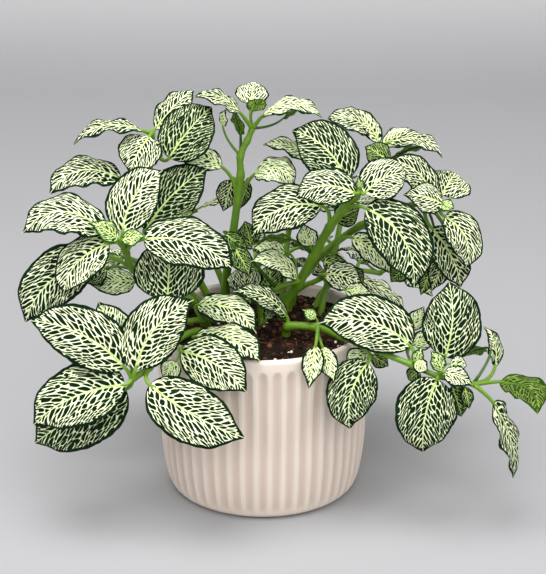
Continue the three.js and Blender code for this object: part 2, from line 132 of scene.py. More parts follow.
# Each layer of unevenness: height, width of a lump, seed
SOIL_LAYERS = ((1.6, 5.0, 1), (0.9, 2.2, 2), (0.5, 1.1, 3))
EDGE_CALM = 0.4
CALM_FROM = 0.9
NOISE_TABLE = 64

# Loose crumbs, perlite and fibres: reach is a share of the soil's radius
CRUMB_REACH = 0.97
CRUMB_SIZES = (0.5, 1.7)
CRUMB_UNEVEN = 0.35
CRUMB_WIDTHS = (0.7, 1.3)
CRUMB_HEIGHTS = (0.55, 1.0)
CRUMB_LIFT = 0.15
PERLITE_EVERY = 22
PERLITE_SIZES = (0.7, 1.2)
PERLITE_BARK = 0.1
BARK_POWER = 3
FIBRE_REACH = 0.92
FIBRE_LENGTHS = (3, 9)
FIBRE_BEND = 1.2
FIBRE_EDGE_GAP = 0.6
FIBRE_LIFTS = (0.25, 0.3)
FIBRE_RADII = (0.12, 0.3)
FIBRE_BARK = (0.4, 1.0)
FIBRE_POINTS = 6
FIBRE_SIDES = 5

# Stems and leaf stalks
ROOT_HEIGHT = 66
ROOT_LEAN = 0.85
NODE_SWELL = 0.26
NODE_REACH = 2.4
# Share of painted shade on the main stems
STEM_SHADE = 0.25
STEM_SIDES = 14
STEPS_PER_SPAN = 9
# Bud at a stem's end: distance past it and share of its width
BUD = ((0.9, 0.86), (1.7, 0.55), (2.3, 0.2))
STALK_RADII = (1.5, 0.95)
STALK_TAPER = 0.7
STALK_ROOT = 0.8
STALK_COLLAR = 1.15
STALK_LEAN = 0.45
STALK_SIDES = 10
STALK_STEPS = 10
SLIMMEST_STALK = 0.62
RIB_REACH = (0.05, 0.93)
RIB_STEPS = 12
RIB_RADII = (0.8, 0.12)
RIB_TAPER = 0.8
RIB_SINK = 0.45
TUBE_UP = (0.0, 0.3, 1.0)

# Leaf blades
OUTLINE_BASE = 0.5
OUTLINE_TIP = 0.7
OUTLINE_PEAK = OUTLINE_BASE / (OUTLINE_BASE + OUTLINE_TIP)
POINT_STARTS = (0.68, 0.82)
POINT_WHOLE = 0.92
FULL_LEAF = 55
LARGE_LEAF = 40
SMALL_LEAF = 26
SMALL_POINT_STARTS = (0.34, 0.5)
# Least length of a blade, its rows, and its columns on each side of the midrib
BLADE_GRIDS = ((LARGE_LEAF, 76, 11), (SMALL_LEAF, 56, 9), (0, 34, 6))
# Share of even rows and of rows that crowd towards both ends
ROW_SHARES = (0.45, 0.55)
COLUMN_POWER = 0.9
TIP_CURL = 0.05
CURL_START = 0.65
CUP = 0.1
EDGE_WAVE = 0.035
WAVES = 2.5
PHASE_STEPS = (1.7, 0.9)
CRINKLE = 0.008
MARGIN_SWING = 0.4
SWING_ROOM = 0.25
# Swings along a margin: waves in its length and their size
SWINGS = ((3.3, 0.5), (7.9, 0.32), (13.7, 0.18))
QUILT = 0.6
QUILT_FROM_RIB = (0.04, 0.3)
QUILT_TO_MARGIN = (0.75, 1.0)
QUILT_FROM_FOOT = (0.02, 0.12)
QUILT_TO_TIP = (0.85, 1)
GROOVE = 0.5
GROOVE_WIDTH = 1.1
GROOVE_FROM_FOOT = (0.0, 0.1)
TIP_MARGIN = 0.55
SHADE_SPREAD = 0.15

# Vein net: how side veins lean and bend, and how rows of green fields lie between them
VEIN_LEAN = 0.6
VEIN_LEAN_GAIN = 0.9
VEIN_BEND = 0.3
VEIN_RUN = (1.1, 0.8)
NET_SHIFTS = 40
ROW_SLANT = 1.5
# Width of a patch that wanders as one, across the rows of a full leaf, in millimetres
WANDER_PATCH = 5.8333
WANDER = (1.5, 2.0, 0)
ROW_SLIDE = 9
# Inner and outer net: fineness and share of the vein width
NETS = ((1, 1.0), (1.3, 0.8))
NET_CHANGE = (0.52, 0.66)
NET_CHANGE_WANDER = 0.8
VEIN_WIDTHS = (0.6, 1.4)
UNDER_VEINS = 0.6
SMALLEST_RIM = 0.65
# Width of a darker or paler patch of green, across the rows of a full leaf, in millimetres
TISSUE_PATCH = 7
# Half widths of the midrib at its foot and tip, and softness of edges, in millimetres
MIDRIB = (0.68, 0.15)
FIELD_EDGE = 0.08
RIM_SOFTNESS = 0.1
# Lime tint: its reach from the midrib in millimetres with its shares, and its reach along the blade
LIME_REACH = 1.5
LIME_SHARES = (0.95, 0.1)
LIME_ALONG = 0.8
LIME_ALONG_SHARES = (1.0, 0.25)
# Shares of the underside's own colours in its veins and in its green fields
UNDER_TINTS = (0.85, 0.8)

# Sockets of a colour mix: share of the second colour, both colours, and the result
SHARE, FIRST, SECOND, MIXED = 0, 6, 7, 2

# Patterns: real sizes in millimetres, but for the count of streaks round a stem
GLAZE_CLOUD = 22.22
CLAY_SPECK = 1.111
PEAT_GRAIN = 2.381
PAPER_CLOUD = 333.3
STREAK_LENGTH = 10.42
STREAKS_ROUND = 4.8
FIELD_SWELL = 0.3
STREAK_SWELL = 0.4
SPECK_SWELL = 0.2
GRAIN_SWELL = 0.8

# Ways in which the upper face of a blade looks
FRONT = (0, -2, 1)
TILTED = (0, -1, 1)
RAISED = (0, -1, 2)
LEVEL = (0, -1, 4)

# Looks of a leaf: vein half width in mm, youth, and painted shade on its veins and stalk
TONES = {
    "w": (0.27, 0.0, 0.0),
    "m": (0.20, 0.0, 0.05),
    "n": (0.14, 0.0, 0.2),
    "s": (0.12, 0.0, 0.5),
    "p": (0.44, 0.0, 0.25),
    "d": (0.16, 0.0, 0.9),
    "y": (0.27, 0.6, 0.1),
}

# Each stem has its radii at soil and top, the points of its path, which are its nodes, and its leaves.
# Each leaf has: node, base of the blade, tip, width, look, rise of the arch, sideways bow.
STEMS = {
    "stem_front_left": {
        "radii": (2.4, 1.9),
        "path": [
            (-29, -22, 103), (-38, -28, 108), (-49, -41, 109), (-60, -55, 105), (-64, -61, 100),
            (-73, -67, 96),
        ],
        "tones": "wwnwwp",
        "leaves": [
            (5, (-77, -68, 103), (-130, -64, 130), 33, FRONT, 4, -6),
            (5, (-77, -71, 94), (-130, -77, 71), 35, FRONT, 4, -5),
            (5, (-77, -64, 88), (-133, -60, 51), 40, FRONT, 3, -1),
            (5, (-71, -70, 103), (-38, -60, 141), 33, FRONT, 3, 6),
            (4, (-63, -73, 95), (-9, -86, 68), 34, FRONT, 3, -3),
            (5, (-75, -59, 103), (-93, -47, 135), 25, FRONT, 2, 0),
        ],
    },
    "stem_left": {
        "radii": (2.4, 1.8),
        "path": [
            (-34, -4, 105), (-43, -8, 120), (-57, -13, 131), (-75, -18, 143), (-78, -26, 157),
            (-80, -31, 164),
        ],
        "tones": "wwwmyymsp",
        "leaves": [
            (5, (-89, -36, 173), (-136, -40, 174), 31, RAISED, 11, -5),
            (5, (-86, -40, 167), (-112, -54, 142), 27, (-1, -2, 1), 3, -5),
            (5, (-79, -32, 171), (-56, -24, 205), 29, FRONT, 2, 5),
            (4, (-67, -36, 168), (-16, -50, 156), 31, TILTED, 5, 5),
            (5, (-81, -38, 169), (-97, -42, 181), 13, TILTED, 2, 0),
            (5, (-79, -36, 168), (-65, -38, 171), 11, TILTED, 1, 0),
            (3, (-96, -22, 152), (-139, -26, 112), 32, FRONT, 3, -7),
            (3, (-91, -16, 143), (-106, -20, 135), 16, TILTED, 2, 0),
            (2, (-75, -10, 132), (-102, -14, 133), 18, TILTED, 3, 0),
        ],
    },
    "stem_upper_left": {
        "radii": (2.4, 1.7),
        "path": [
            (-31, 10, 108), (-40, 8, 130), (-53, 6, 152), (-65, 6, 174), (-66, 7, 192),
            (-64, 8, 207), (-64, 8, 217),
        ],
        "tones": "mmmssmd",
        "leaves": [
            (6, (-69, 4, 220), (-110, -6, 215), 16, LEVEL, 8, 0),
            (6, (-65, 2, 217), (-76, -16, 201), 26, TILTED, 3, 0),
            (6, (-62, 12, 219), (-40, 24, 240), 20, RAISED, 3, -1),
            (5, (-54, 2, 204), (-29, 14, 232), 31, FRONT, 3, 1),
            (3, (-68, -4, 162), (-32, 6, 197), 32, FRONT, 3, 3),
            (4, (-82, -2, 193), (-123, -14, 188), 25, RAISED, 8, -5),
            (3, (-50, 0, 171), (-37, -2, 173), 12, RAISED, 2, 0),
        ],
    },
    "stem_tall": {
        "radii": (2.9, 1.6),
        "path": [
            (-23, 24, 107), (-21, 20, 133), (-18, 18, 151), (-15, 16, 173), (-13, 16, 189),
            (-13, 16, 201), (-9, 17, 210), (-6, 18, 217),
        ],
        "tones": "wpmpdpdppnddd",
        "leaves": [
            (7, (-7, 20, 231), (-5, 34, 242), 20, TILTED, 2, 0),
            (7, (-6, 16, 228), (0, 6, 239), 12, (0, 1, 1), 1, 0),
            (7, (-13, 14, 228), (-40, 12, 239), 18, LEVEL, 5, 0),
            (5, (-23, 10, 221), (-21, 8, 232), 9, (-1, -1, 1), 1, 0),
            (5, (-13, 20, 213), (-17, 12, 231), 11, (1, 1, 0), 1, 0),
            (7, (0, 16, 225), (36, 12, 226), 19, LEVEL, 9, 0),
            (7, (12, 26, 221), (23, 32, 225), 9, (0, 1, 1), 1, 0),
            (3, (-24, 14, 195), (-52, 22, 201), 19, RAISED, 4, 0),
            (3, (-5, 18, 189), (19, 6, 185), 23, RAISED, 8, 3),
            (3, (-18, 26, 183), (-24, 22, 164), 15, FRONT, 1, 0),
            (3, (-9, 24, 183), (-14, 26, 164), 9, FRONT, 1, 0),
            (2, (-22, 10, 155), (-8, 6, 142), 12, TILTED, 1, 0),
            (2, (-7, 22, 143), (-11, 28, 157), 15, FRONT, 1, 0),
        ],
    },
    "stem_right_front": {
        "radii": (3.2, 2.0),
        "path": [
            (13, 12, 108), (21, 9, 123), (30, 5, 143), (39, -2, 163), (47, -9, 177),
            (53, -14, 186), (56, -16, 191),
        ],
        "tones": "nmwmnypdpd",
        "leaves": [
            (6, (48, -10, 195), (16, 6, 220), 32, FRONT, 3, -5),
            (6, (53, -20, 190), (18, -24, 189), 25, TILTED, 4, -4),
            (6, (58, -20, 190), (84, -10, 199), 25, FRONT, 3, 3),
            (3, (34, -4, 177), (-7, -12, 161), 29, TILTED, 6, -6),
            (4, (59, -20, 181), (86, -42, 140), 33, FRONT, 3, 9),
            (6, (56, -18, 192), (54, -20, 200), 6, (0, -1, 0), 1, 0),
            (4, (30, 16, 196), (-1, 22, 207), 13, RAISED, 6, -1),
            (2, (17, 2, 154), (-3, -2, 155), 12, (0, 1, 1), 2, 0),
            (2, (28, 0, 151), (23, -2, 166), 13, (0, -1, 0), 1, 0),
            (3, (43, 16, 162), (58, 22, 167), 16, FRONT, 1, 0),
        ],
    },
    "stem_upper_right": {
        "radii": (2.4, 1.7),
        "path": [(18, 36, 103), (28, 37, 125), (42, 36, 152), (57, 30, 176), (66, 25, 195), (69, 23, 204)],
        "tones": "mppmdd",
        "leaves": [
            (5, (63, 24, 214), (37, 22, 223), 20, RAISED, 5, 0),
            (5, (68, 20, 208), (50, 30, 226), 12, TILTED, 2, -2),
            (5, (71, 28, 204), (93, 36, 210), 16, RAISED, 3, 0),
            (5, (74, 20, 208), (107, 16, 200), 18, LEVEL, 8, 0),
            (4, (79, 30, 197), (100, 24, 203), 15, (0, 1, 2), 3, 0),
            (4, (73, 10, 199), (59, 14, 208), 17, TILTED, 2, 0),
        ],
    },
    "stem_right": {
        "radii": (2.6, 1.8),
        "path": [
            (16, 27, 104), (26, 27, 124), (37, 27, 137), (58, 18, 157), (79, 4, 172),
            (94, 0, 178), (102, -3, 178),
        ],
        "tones": "mmmmmndyd",
        "leaves": [
            (6, (99, -1, 181), (73, 1, 204), 20, TILTED, 3, -4),
            (6, (104, 4, 181), (115, 24, 189), 28, TILTED, 3, 0),
            (6, (104, -7, 179), (80, -9, 186), 20, TILTED, 4, 0),
            (6, (105, -8, 172), (118, -18, 143), 24, (1, -2, 1), 3, 6),
            (5, (99, 2, 161), (117, -4, 125), 22, FRONT, 2, 3),
            (5, (108, 10, 140), (100, 6, 119), 14, FRONT, 1, 0),
            (5, (100, 12, 131), (94, 8, 116), 9, FRONT, 1, 0),
            (6, (103, -6, 179), (111, -9, 177), 9, TILTED, 1, 0),
            (3, (85, 14, 133), (76, 10, 124), 12, FRONT, 1, 0),
        ],
    },
    "stem_trailing": {
        "radii": (2.9, 1.3),
        "path": [
            (14, -12, 103), (15, -15, 106), (32, -24, 109), (45, -38, 109.5), (56, -46, 108),
            (85, -60, 101), (99, -66, 97), (119, -66, 92),
        ],
        "tones": "wnnnywwypddpmmdpppddppny",
        "leaves": [
            (5, (84, -54, 110), (31, -54, 124), 32, FRONT, 3, -8),
            (4, (60, -56, 101), (50, -68, 64), 29, FRONT, 3, -5),
            (6, (103, -58, 105), (105, -46, 147), 34, FRONT, 3, -3),
            (6, (98, -70, 97), (91, -78, 54), 35, FRONT, 3, -3),
            (6, (101, -69, 102), (94, -68, 114), 10, TILTED, 1, 0),
            (6, (102, -71, 102), (118, -76, 96), 13, TILTED, 2, 0),
            (6, (106, -62, 103), (116, -60, 101), 11, FRONT, 1, 0),
            (5, (86, -61, 103), (90, -60, 113), 7, FRONT, 1, 0),
            (5, (86, -64, 105), (93, -68, 100), 9, FRONT, 1, 0),
            (7, (108, -58, 87), (115, -54, 65), 17, FRONT, 1, 0),
            (7, (114, -68, 91), (117, -70, 78), 8, FRONT, 1, 0),
            (7, (135, -60, 91), (159, -46, 65), 21, (0, 2, 1), 3, -7),
            (7, (131, -66, 80), (146, -70, 34), 25, (2, -1, 1), 2, 4),
            (7, (133, -50, 96), (126, -44, 119), 13, (1, -1, 1), 2, -3),
            (7, (127, -44, 105), (115, -36, 96), 14, (0, 1, 1), 1, 0),
            (2, (30, -58, 112), (26, -71, 91), 13, FRONT, 1, 0),
            (2, (34, -55, 110), (41, -66, 92), 12, FRONT, 1, 0),
            (4, (59, -48, 103), (47, -53, 96), 15, FRONT, 1, 0),
            (4, (63, -46, 101), (73, -44, 93), 10, FRONT, 1, 0),
            (5, (89, -54, 95), (83, -50, 87), 10, FRONT, 1, 0),
            (5, (87, -42, 106), (99, -34, 109), 12, FRONT, 1, 0),
            (5, (85, -36, 113), (93, -32, 126), 11, FRONT, 1, 0),
            (1, (14, -14, 112), (-17, -22, 132), 18, RAISED, 5, -2),
            (2, (31, -22, 114), (23, -20, 119), 8, TILTED, 1, 0),
        ],
    },
    "stem_front_short": {
        "radii": (2.2, 1.6),
        "path": [(-32, -14, 104), (-35, -18, 111), (-45, -28, 115), (-52, -36, 124)],
        "tones": "np",
        "leaves": [
            (3, (-54, -40, 133), (-53, -8, 159), 41, TILTED, 3, 0),
            (1, (-38, -16, 120), (-3, -38, 112), 24, RAISED, 5, 4),
        ],
    },
    "stem_front_rim": {
        "radii": (2.0, 1.4),
        "path": [(-22, -31, 103), (-28, -36, 107), (-37, -44, 108), (-46, -51, 107)],
        "tones": "pwp",
        "leaves": [
            (1, (-39, -40, 110), (-1, -70, 109), 25, RAISED, 4, 4),
            (3, (-46, -54, 107), (-9, -79, 93), 30, FRONT, 3, 4),
            (3, (-49, -57, 102), (-56, -62, 92), 13, TILTED, 1, 0),
        ],
    },
    "stem_centre": {
        "radii": (2.0, 1.4),
        "path": [(-1, 2, 104), (-1, 2, 116), (8, 0, 124), (20, -1, 129)],
        "tones": "pnddpnddd",
        "leaves": [
            (3, (20, -2, 131), (-7, -8, 145), 18, RAISED, 5, -3),
            (1, (-10, 2, 122), (-12, 8, 137), 22, FRONT, 1, 0),
            (1, (-8, -6, 121), (-15, -8, 115), 11, TILTED, 1, 0),
            (2, (-16, -4, 151), (-7, -10, 135), 13, TILTED, 1, 0),
            (3, (13, 12, 143), (-6, 8, 147), 15, TILTED, 1, 0),
            (0, (2, -14, 110), (8, -10, 118), 8, TILTED, 1, 0),
            (0, (-6, -9, 108), (-10, -14, 117), 7, TILTED, 1, 0),
            (1, (2, 16, 114), (6, 31, 130), 17, TILTED, 2, 0),
            (1, (-5, 12, 114), (-14, 28, 125), 14, TILTED, 2, 0),
        ],
    },
    "stem_low_right": {
        "radii": (2.0, 1.4),
        "path": [(10, 22, 105), (22, 19, 117), (35, 16, 125), (41, 18, 137)],
        "tones": "mpddp",
        "leaves": [
            (2, (37, 8, 130), (60, 0, 125), 20, TILTED, 2, 2),
            (3, (53, 14, 151), (76, 6, 131), 17, TILTED, 2, 3),
            (3, (52, 20, 128), (61, 16, 121), 11, FRONT, 1, 0),
            (3, (36, 14, 136), (52, 12, 132), 13, TILTED, 1, 0),
            (2, (49, -2, 124), (65, -8, 124), 12, TILTED, 1, 0),
        ],
    },
}

# Stems of the hidden side, with opposite pairs of leaves: path, heading of the lowest pair, leaf length, seed
BACK_STEMS = {
    "stem_back_left": ([(-36, 22, 103), (-56, 38, 114), (-78, 50, 122), (-96, 58, 126)], 22, 48, 3),
    "stem_back_centre": ([(-2, 44, 103), (-4, 62, 114), (-5, 82, 118), (-6, 98, 115)], 110, 46, 5),
    "stem_back_right": ([(34, 36, 103), (45, 50, 110), (58, 66, 110), (74, 78, 104)], 65, 42, 8),
    "stem_back_upper_left": ([(-22, 38, 103), (-34, 46, 132), (-46, 51, 154), (-54, 53, 172)], 0, 38, 13),
    "stem_back_upper_middle": ([(12, 50, 103), (14, 58, 124), (16, 63, 140), (17, 65, 150)], 105, 36, 23),
    "stem_back_upper_right": ([(36, 25, 103), (44, 44, 132), (49, 56, 154), (52, 62, 172)], 30, 38, 17),
}
BACK_RADII = (2.2, 1.5)
BACK_TONES = "mwpnmw"
PAIR_TURN = 20
PAIR_STALK = 9
PAIR_RISE = 4
PAIR_LENGTH = (1.05, 0.12)
PAIR_UNEVEN = (0.9, 0.2)
PAIR_WIDTH = 0.62
PAIR_ARCH = 0.1
PAIR_TIP_RISE = 0.2
INWARD_SHARE = 0.6
DROOP_OUTWARD = 0.5
INWARD_LIFT = 2.2
# The solid model's random draws
DRAW_START = 2654435761.0
DRAW_FACTOR = 1664525.0
DRAW_STEP = 1013904223.0
DRAW_RANGE = 4294967296.0


def linear(hex_colour):
    """A linear RGBA colour from an sRGB hex value."""
    channels = [int(hex_colour[i:i + 2], 16) / 255 for i in (1, 3, 5)]
    curve = [c / 12.92 if c <= 0.04045 else ((c + 0.055) / 1.055) ** 2.4 for c in channels]
    return (*curve, 1.0)


def in_mm(settings, *names):
    """The named lengths of a settings group, in millimetres."""
    return [getattr(settings, name) / MM for name in names]


def unit(vectors):
    """The vectors at length one."""
    return vectors / np.linalg.norm(vectors, axis=-1, keepdims=True)


def smooth(low, high, value):
    """A soft step from 0 at low to 1 at high."""
    share = np.clip((value - low) / (high - low), 0, 1)
    return share * share * (3 - 2 * share)


def ring(radius, turn, height):
    """Points round the upright axis, at the given radius and height."""
    return np.stack([radius * np.cos(turn), radius * np.sin(turn), np.full(len(turn), height)], -1)


def ring_faces(rings, sides):
    """Faces of a stack of rings, with both ends closed to the two points that follow the rings."""
    faces = []
    last = (rings - 1) * sides
    end = rings * sides
    for k in range(sides):
        n = (k + 1) % sides
        for a in range(0, last, sides):
            faces.append((a + k, a + n, a + sides + n, a + sides + k))
        faces.append((end, n, k))
        faces.append((end + 1, last + k, last + n))
    return faces


class Skin:
    """Collects points, faces, face materials and point attributes of one piece."""

    NAMES = ("flow", "blade", "look")

    def __init__(self):
        self.points = []
        self.faces = []
        self.slots = []
        self.values = {name: [] for name in self.NAMES}
        self.sharp = []
        self.count = 0

    def add(self, points, faces, slots, **values):
        """Adds one closed form, and returns the number of its first point."""
        start = self.count
        points = np.asarray(points, float).reshape(-1, 3)
        self.points.append(points)
        self.faces.extend(tuple(int(i) + start for i in face) for face in faces)
        self.slots.extend(slots if hasattr(slots, "__len__") else [slots] * len(faces))
        for name in self.NAMES:
            filler = np.zeros((len(points), 3))
            self.values[name].append(np.asarray(values.get(name, filler), float).reshape(-1, 3))
        self.count += len(points)
        return start

    def build(self, name, materials):
        """Makes the piece's mesh and object, in metres."""
        mesh = bpy.data.meshes.new(name)
        points = np.concatenate(self.points) * MM
        mesh.from_pydata(points.tolist(), [], self.faces)
        mesh.polygons.foreach_set("material_index", self.slots)
        mesh.polygons.foreach_set("use_smooth", [True] * len(self.faces))
        for key in self.NAMES:
            stored = mesh.attributes.new(key, "FLOAT_VECTOR", "POINT")
            stored.data.foreach_set("vector", np.concatenate(self.values[key]).astype(np.float32).ravel())
        if self.sharp:
            wanted = {tuple(sorted(edge)) for edge in self.sharp}
            for edge in mesh.edges:
                if tuple(sorted(edge.vertices)) in wanted:
                    edge.use_edge_sharp = True
        for material in materials:
            mesh.materials.append(material)
        mesh.update()
        mesh.validate()
        piece = bpy.data.objects.new(name, mesh)
        bpy.context.scene.collection.objects.link(piece)
        return piece


# Leaf and stem shapes

def outline(t, point_start):
    """Half width of a blade at t as a share of its greatest, and straight from point_start to the tip."""
    def raw(x):
        return np.power(x, OUTLINE_BASE) * np.power(1 - x, OUTLINE_TIP)
    peak = raw(OUTLINE_PEAK)
    egg = raw(np.clip(t, 0, 1)) / peak
    point = raw(point_start) / peak * (1 - t) / (1 - point_start)
    return np.where(t > point_start, egg + (point - egg) * smooth(point_start, POINT_WHOLE, t), egg)


class Blade:
    """The midrib and surface of one leaf blade."""

    def __init__(self, leaf):
        _, base, tip, self.width, look, arch, bow = leaf
        self.base = np.array(base, float)
        self.chord = np.array(tip, float) - self.base
        self.length = float(np.linalg.norm(self.chord))
        along = self.chord / self.length
        up = np.array(look, float)
        self.up = unit(up - along * (up @ along))
        self.side = np.cross(self.up, along)
        self.phase = math.fmod(base[0] * PHASE_STEPS[0] + base[2] * PHASE_STEPS[1] + tip[1], 2 * math.pi)
        self.offset = self.up * arch + self.side * bow

    def midrib(self, t):
        """Points of the midrib at shares of its length."""
        t = np.atleast_1d(t)[:, None]
        return self.base + self.chord * t + self.offset * (4 * t * (1 - t))

    def tangent(self, t):
        """Direction of the midrib."""
        t = np.atleast_1d(t)[:, None]
        return unit(self.chord + self.offset * (4 * (1 - 2 * t)))

    def face(self, t):
        """Direction in which the upper face looks, square to the midrib."""
        tangent = self.tangent(t)
        return unit(self.up - tangent * (tangent @ self.up)[:, None])


def edge_noise(t, seed):
    """Uneven swing along a margin, about one at most, from a few waves that never line up."""
    rng = random.Random(seed)
    total = 0
    for waves, size in SWINGS:
        total = total + size * np.sin(2 * math.pi * (waves * t + rng.random()))
    return total


def add_blade(skin, leaf, tone, seed, foliage):
    """Adds a thin closed blade with quilted fields between its side veins."""
    blade = Blade(leaf)
    length = blade.length
    thickness, spacing, island = in_mm(foliage, "blade_thickness", "vein_spacing", "island_length")
    rows, columns = next(grid[1:] for grid in BLADE_GRIDS if length > grid[0])
    u = np.linspace(0, 1, rows + 2)[1:-1]
    even, crowded = ROW_SHARES
    t = even * u + crowded * (1 - np.cos(math.pi * u)) / 2
    across = np.linspace(-1, 1, 2 * columns + 1)
    across = np.sign(across) * np.abs(across) ** COLUMN_POWER
    distance = np.abs(across)[None, :]
    hand = np.sign(across)[None, :]
    rng = random.Random(seed)
    starts = POINT_STARTS if length > SMALL_LEAF else SMALL_POINT_STARTS
    shape = outline(t, rng.uniform(*starts))[:, None]
    tt = t[:, None]
    scale = (length / FULL_LEAF) ** 0.5
    margin_swing = np.where(hand > 0, edge_noise(tt, seed), edge_noise(tt, seed + 1))
    most = blade.width / 2
    swing = MARGIN_SWING * scale * margin_swing * distance ** 3 * smooth(0, SWING_ROOM, shape)
    half = most * shape * distance + swing

    # Side veins leave the midrib at 60 to 35 degrees and bend towards the tip
    lean = VEIN_LEAN + VEIN_LEAN_GAIN * tt
    vein = tt * length - lean * half - VEIN_BEND / most * half ** 2
    out = half * (VEIN_RUN[0] + VEIN_RUN[1] * half / most)
    flow = np.stack([
        vein / (spacing * scale) + rng.randrange(NET_SHIFTS) + 0 * hand,
        hand * out / (island * scale) + rng.randrange(NET_SHIFTS),
        np.full_like(half, scale),
    ], -1)

    wave = EDGE_WAVE * length * distance ** 2 * np.sin(2 * math.pi * WAVES * tt + blade.phase + hand)
    small = CRINKLE * length * distance ** 4 * edge_noise(tt, seed + 2)
    lift = (wave + small - CUP * half * distance) * shape
    quilt = 0.5 - 0.5 * np.cos(math.pi * vein / (spacing * scale))
    room = smooth(*QUILT_FROM_RIB, distance) * (1 - smooth(*QUILT_TO_MARGIN, distance))
    room = room * smooth(*QUILT_FROM_FOOT, tt)
    lift = lift + QUILT * scale * quilt * room * (1 - smooth(*QUILT_TO_TIP, tt))
    groove = np.exp(-(half / (GROOVE_WIDTH * scale)) ** 2)
    lift = lift - GROOVE * scale * groove * smooth(*GROOVE_FROM_FOOT, tt) * (1 - tt)
    lift = lift - TIP_CURL * length * smooth(CURL_START, 1, tt) ** 2

    centre, tangent, face = blade.midrib(t), blade.tangent(t), blade.face(t)
    sideways = np.cross(face, tangent)
    top = centre[:, None, :] + sideways[:, None, :] * (hand * half)[..., None]
    top = top + face[:, None, :] * lift[..., None]
    thick = thickness * np.sqrt(np.clip(1 - distance ** 4, 0, 1)) * (0.5 + 0.5 * shape)
    low = top - face[:, None, :] * thick[..., None]

    margin = most * shape * (1 - distance)
    margin = np.minimum(margin, (1 - tt) * length * TIP_MARGIN)
    facts = np.stack([tt + 0 * half, hand * half, margin], -1)
    width = 2 * columns + 1
    vein_width, youth, shade = tone
    shade = np.clip(shade + SHADE_SPREAD * rng.uniform(-0.5, 0.5), 0, 1)
    look = np.broadcast_to([vein_width * scale ** 0.5, youth, shade], top.shape)

    def index(i, j, under):
        """Number of a point; both faces share the points of the margin."""
        if under and 0 < j < width - 1:
            return rows * width + i * (width - 2) + j - 1
        return i * width + j

    def both(array):
        """Values of the upper face's points, then of the underside's."""
        return np.concatenate([array.reshape(-1, 3), array[:, 1:-1].reshape(-1, 3)])

    points = both(top)
    points[rows * width:] = low[:, 1:-1].reshape(-1, 3)
    ends = np.array([blade.midrib(0)[0], blade.midrib(1)[0] - face[-1] * TIP_CURL * length])
    foot = len(points)
    tip = foot + 1
    faces, slots = [], []
    for i in range(rows - 1):
        for j in range(width - 1):
            faces.append((index(i, j, 0), index(i, j + 1, 0), index(i + 1, j + 1, 0), index(i + 1, j, 0)))
            faces.append((index(i, j, 1), index(i + 1, j, 1), index(i + 1, j + 1, 1), index(i, j + 1, 1)))
            slots.extend([1, 2])
    for j in range(width - 1):
        faces.append((foot, index(0, j + 1, 0), index(0, j, 0)))
        faces.append((foot, index(0, j, 1), index(0, j + 1, 1)))
        faces.append((tip, index(rows - 1, j, 0), index(rows - 1, j + 1, 0)))
        faces.append((tip, index(rows - 1, j + 1, 1), index(rows - 1, j, 1)))
        slots.extend([1, 2, 1, 2])
    start = skin.add(
        np.concatenate([points, ends]), faces, slots,
        flow=np.concatenate([both(flow), [flow[0, columns], flow[-1, columns]]]),
        blade=np.concatenate([both(facts), [[0, 0, 0], [1, 0, 0]]]),
        look=np.concatenate([both(look), look[0, :2]]),
    )
    for j in (0, width - 1):
        skin.sharp.extend((start + i * width + j, start + (i + 1) * width + j) for i in range(rows - 1))
        skin.sharp.append((start + foot, start + j))
        skin.sharp.append((start + tip, start + (rows - 1) * width + j))


def add_tube(skin, centres, radii, sides, slot, shade=0.0):
    """Adds a closed round tube through the centres, turned as little as possible along the way."""
    centres = np.asarray(centres, float)
    steps = np.gradient(centres, axis=0)
    direction = unit(steps)
    up = np.array(TUBE_UP)
    angles = np.linspace(0, 2 * math.pi, sides, endpoint=False)
    rings = []
    for i, centre in enumerate(centres):
        up = unit(up - direction[i] * (up @ direction[i]))
        right = np.cross(direction[i], up)
        rings.append(centre + radii[i] * (np.cos(angles)[:, None] * right + np.sin(angles)[:, None] * up))
    points = np.concatenate([np.concatenate(rings), centres[:1], centres[-1:]])
    run = np.concatenate([[0], np.cumsum(np.linalg.norm(np.diff(centres, axis=0), axis=1))])
    run = np.concatenate([np.repeat(run, sides), run[:1], run[-1:]])
    turn = np.concatenate([np.tile(angles, len(centres)), [0, 0]])
    width = np.concatenate([np.repeat(radii, sides), radii[:1], radii[-1:]])
    flow = np.stack([run, np.cos(turn), np.sin(turn)], -1)
    look = np.stack([width, np.zeros_like(width), np.full_like(width, shade)], -1)
    skin.add(points, ring_faces(len(centres), sides), slot, flow=flow, look=look)


def catmull_rom(points, shares):
    """Points on the centripetal curve through the given points, at shares from 0 to 1."""
    points = np.asarray(points, float)
    spans = len(points) - 1
    padded = np.concatenate([[2 * points[0] - points[1]], points, [2 * points[-1] - points[-2]]])
    result = []
    for share in shares:
        place = share * spans
        k = min(int(place), spans - 1)
        w = place - k
        a, b, c, d = padded[k:k + 4]
        d0, d1, d2 = (float(((q - p) ** 2).sum()) ** 0.25 for p, q in ((a, b), (b, c), (c, d)))
        t1 = ((b - a) / d0 - (c - a) / (d0 + d1) + (c - b) / d1) * d1
        t2 = ((c - b) / d1 - (d - b) / (d1 + d2) + (d - c) / d2) * d1
        square, cube = -3 * b + 3 * c - 2 * t1 - t2, 2 * b - 2 * c + t1 + t2
        result.append(b + t1 * w + square * w ** 2 + cube * w ** 3)
    return np.array(result)


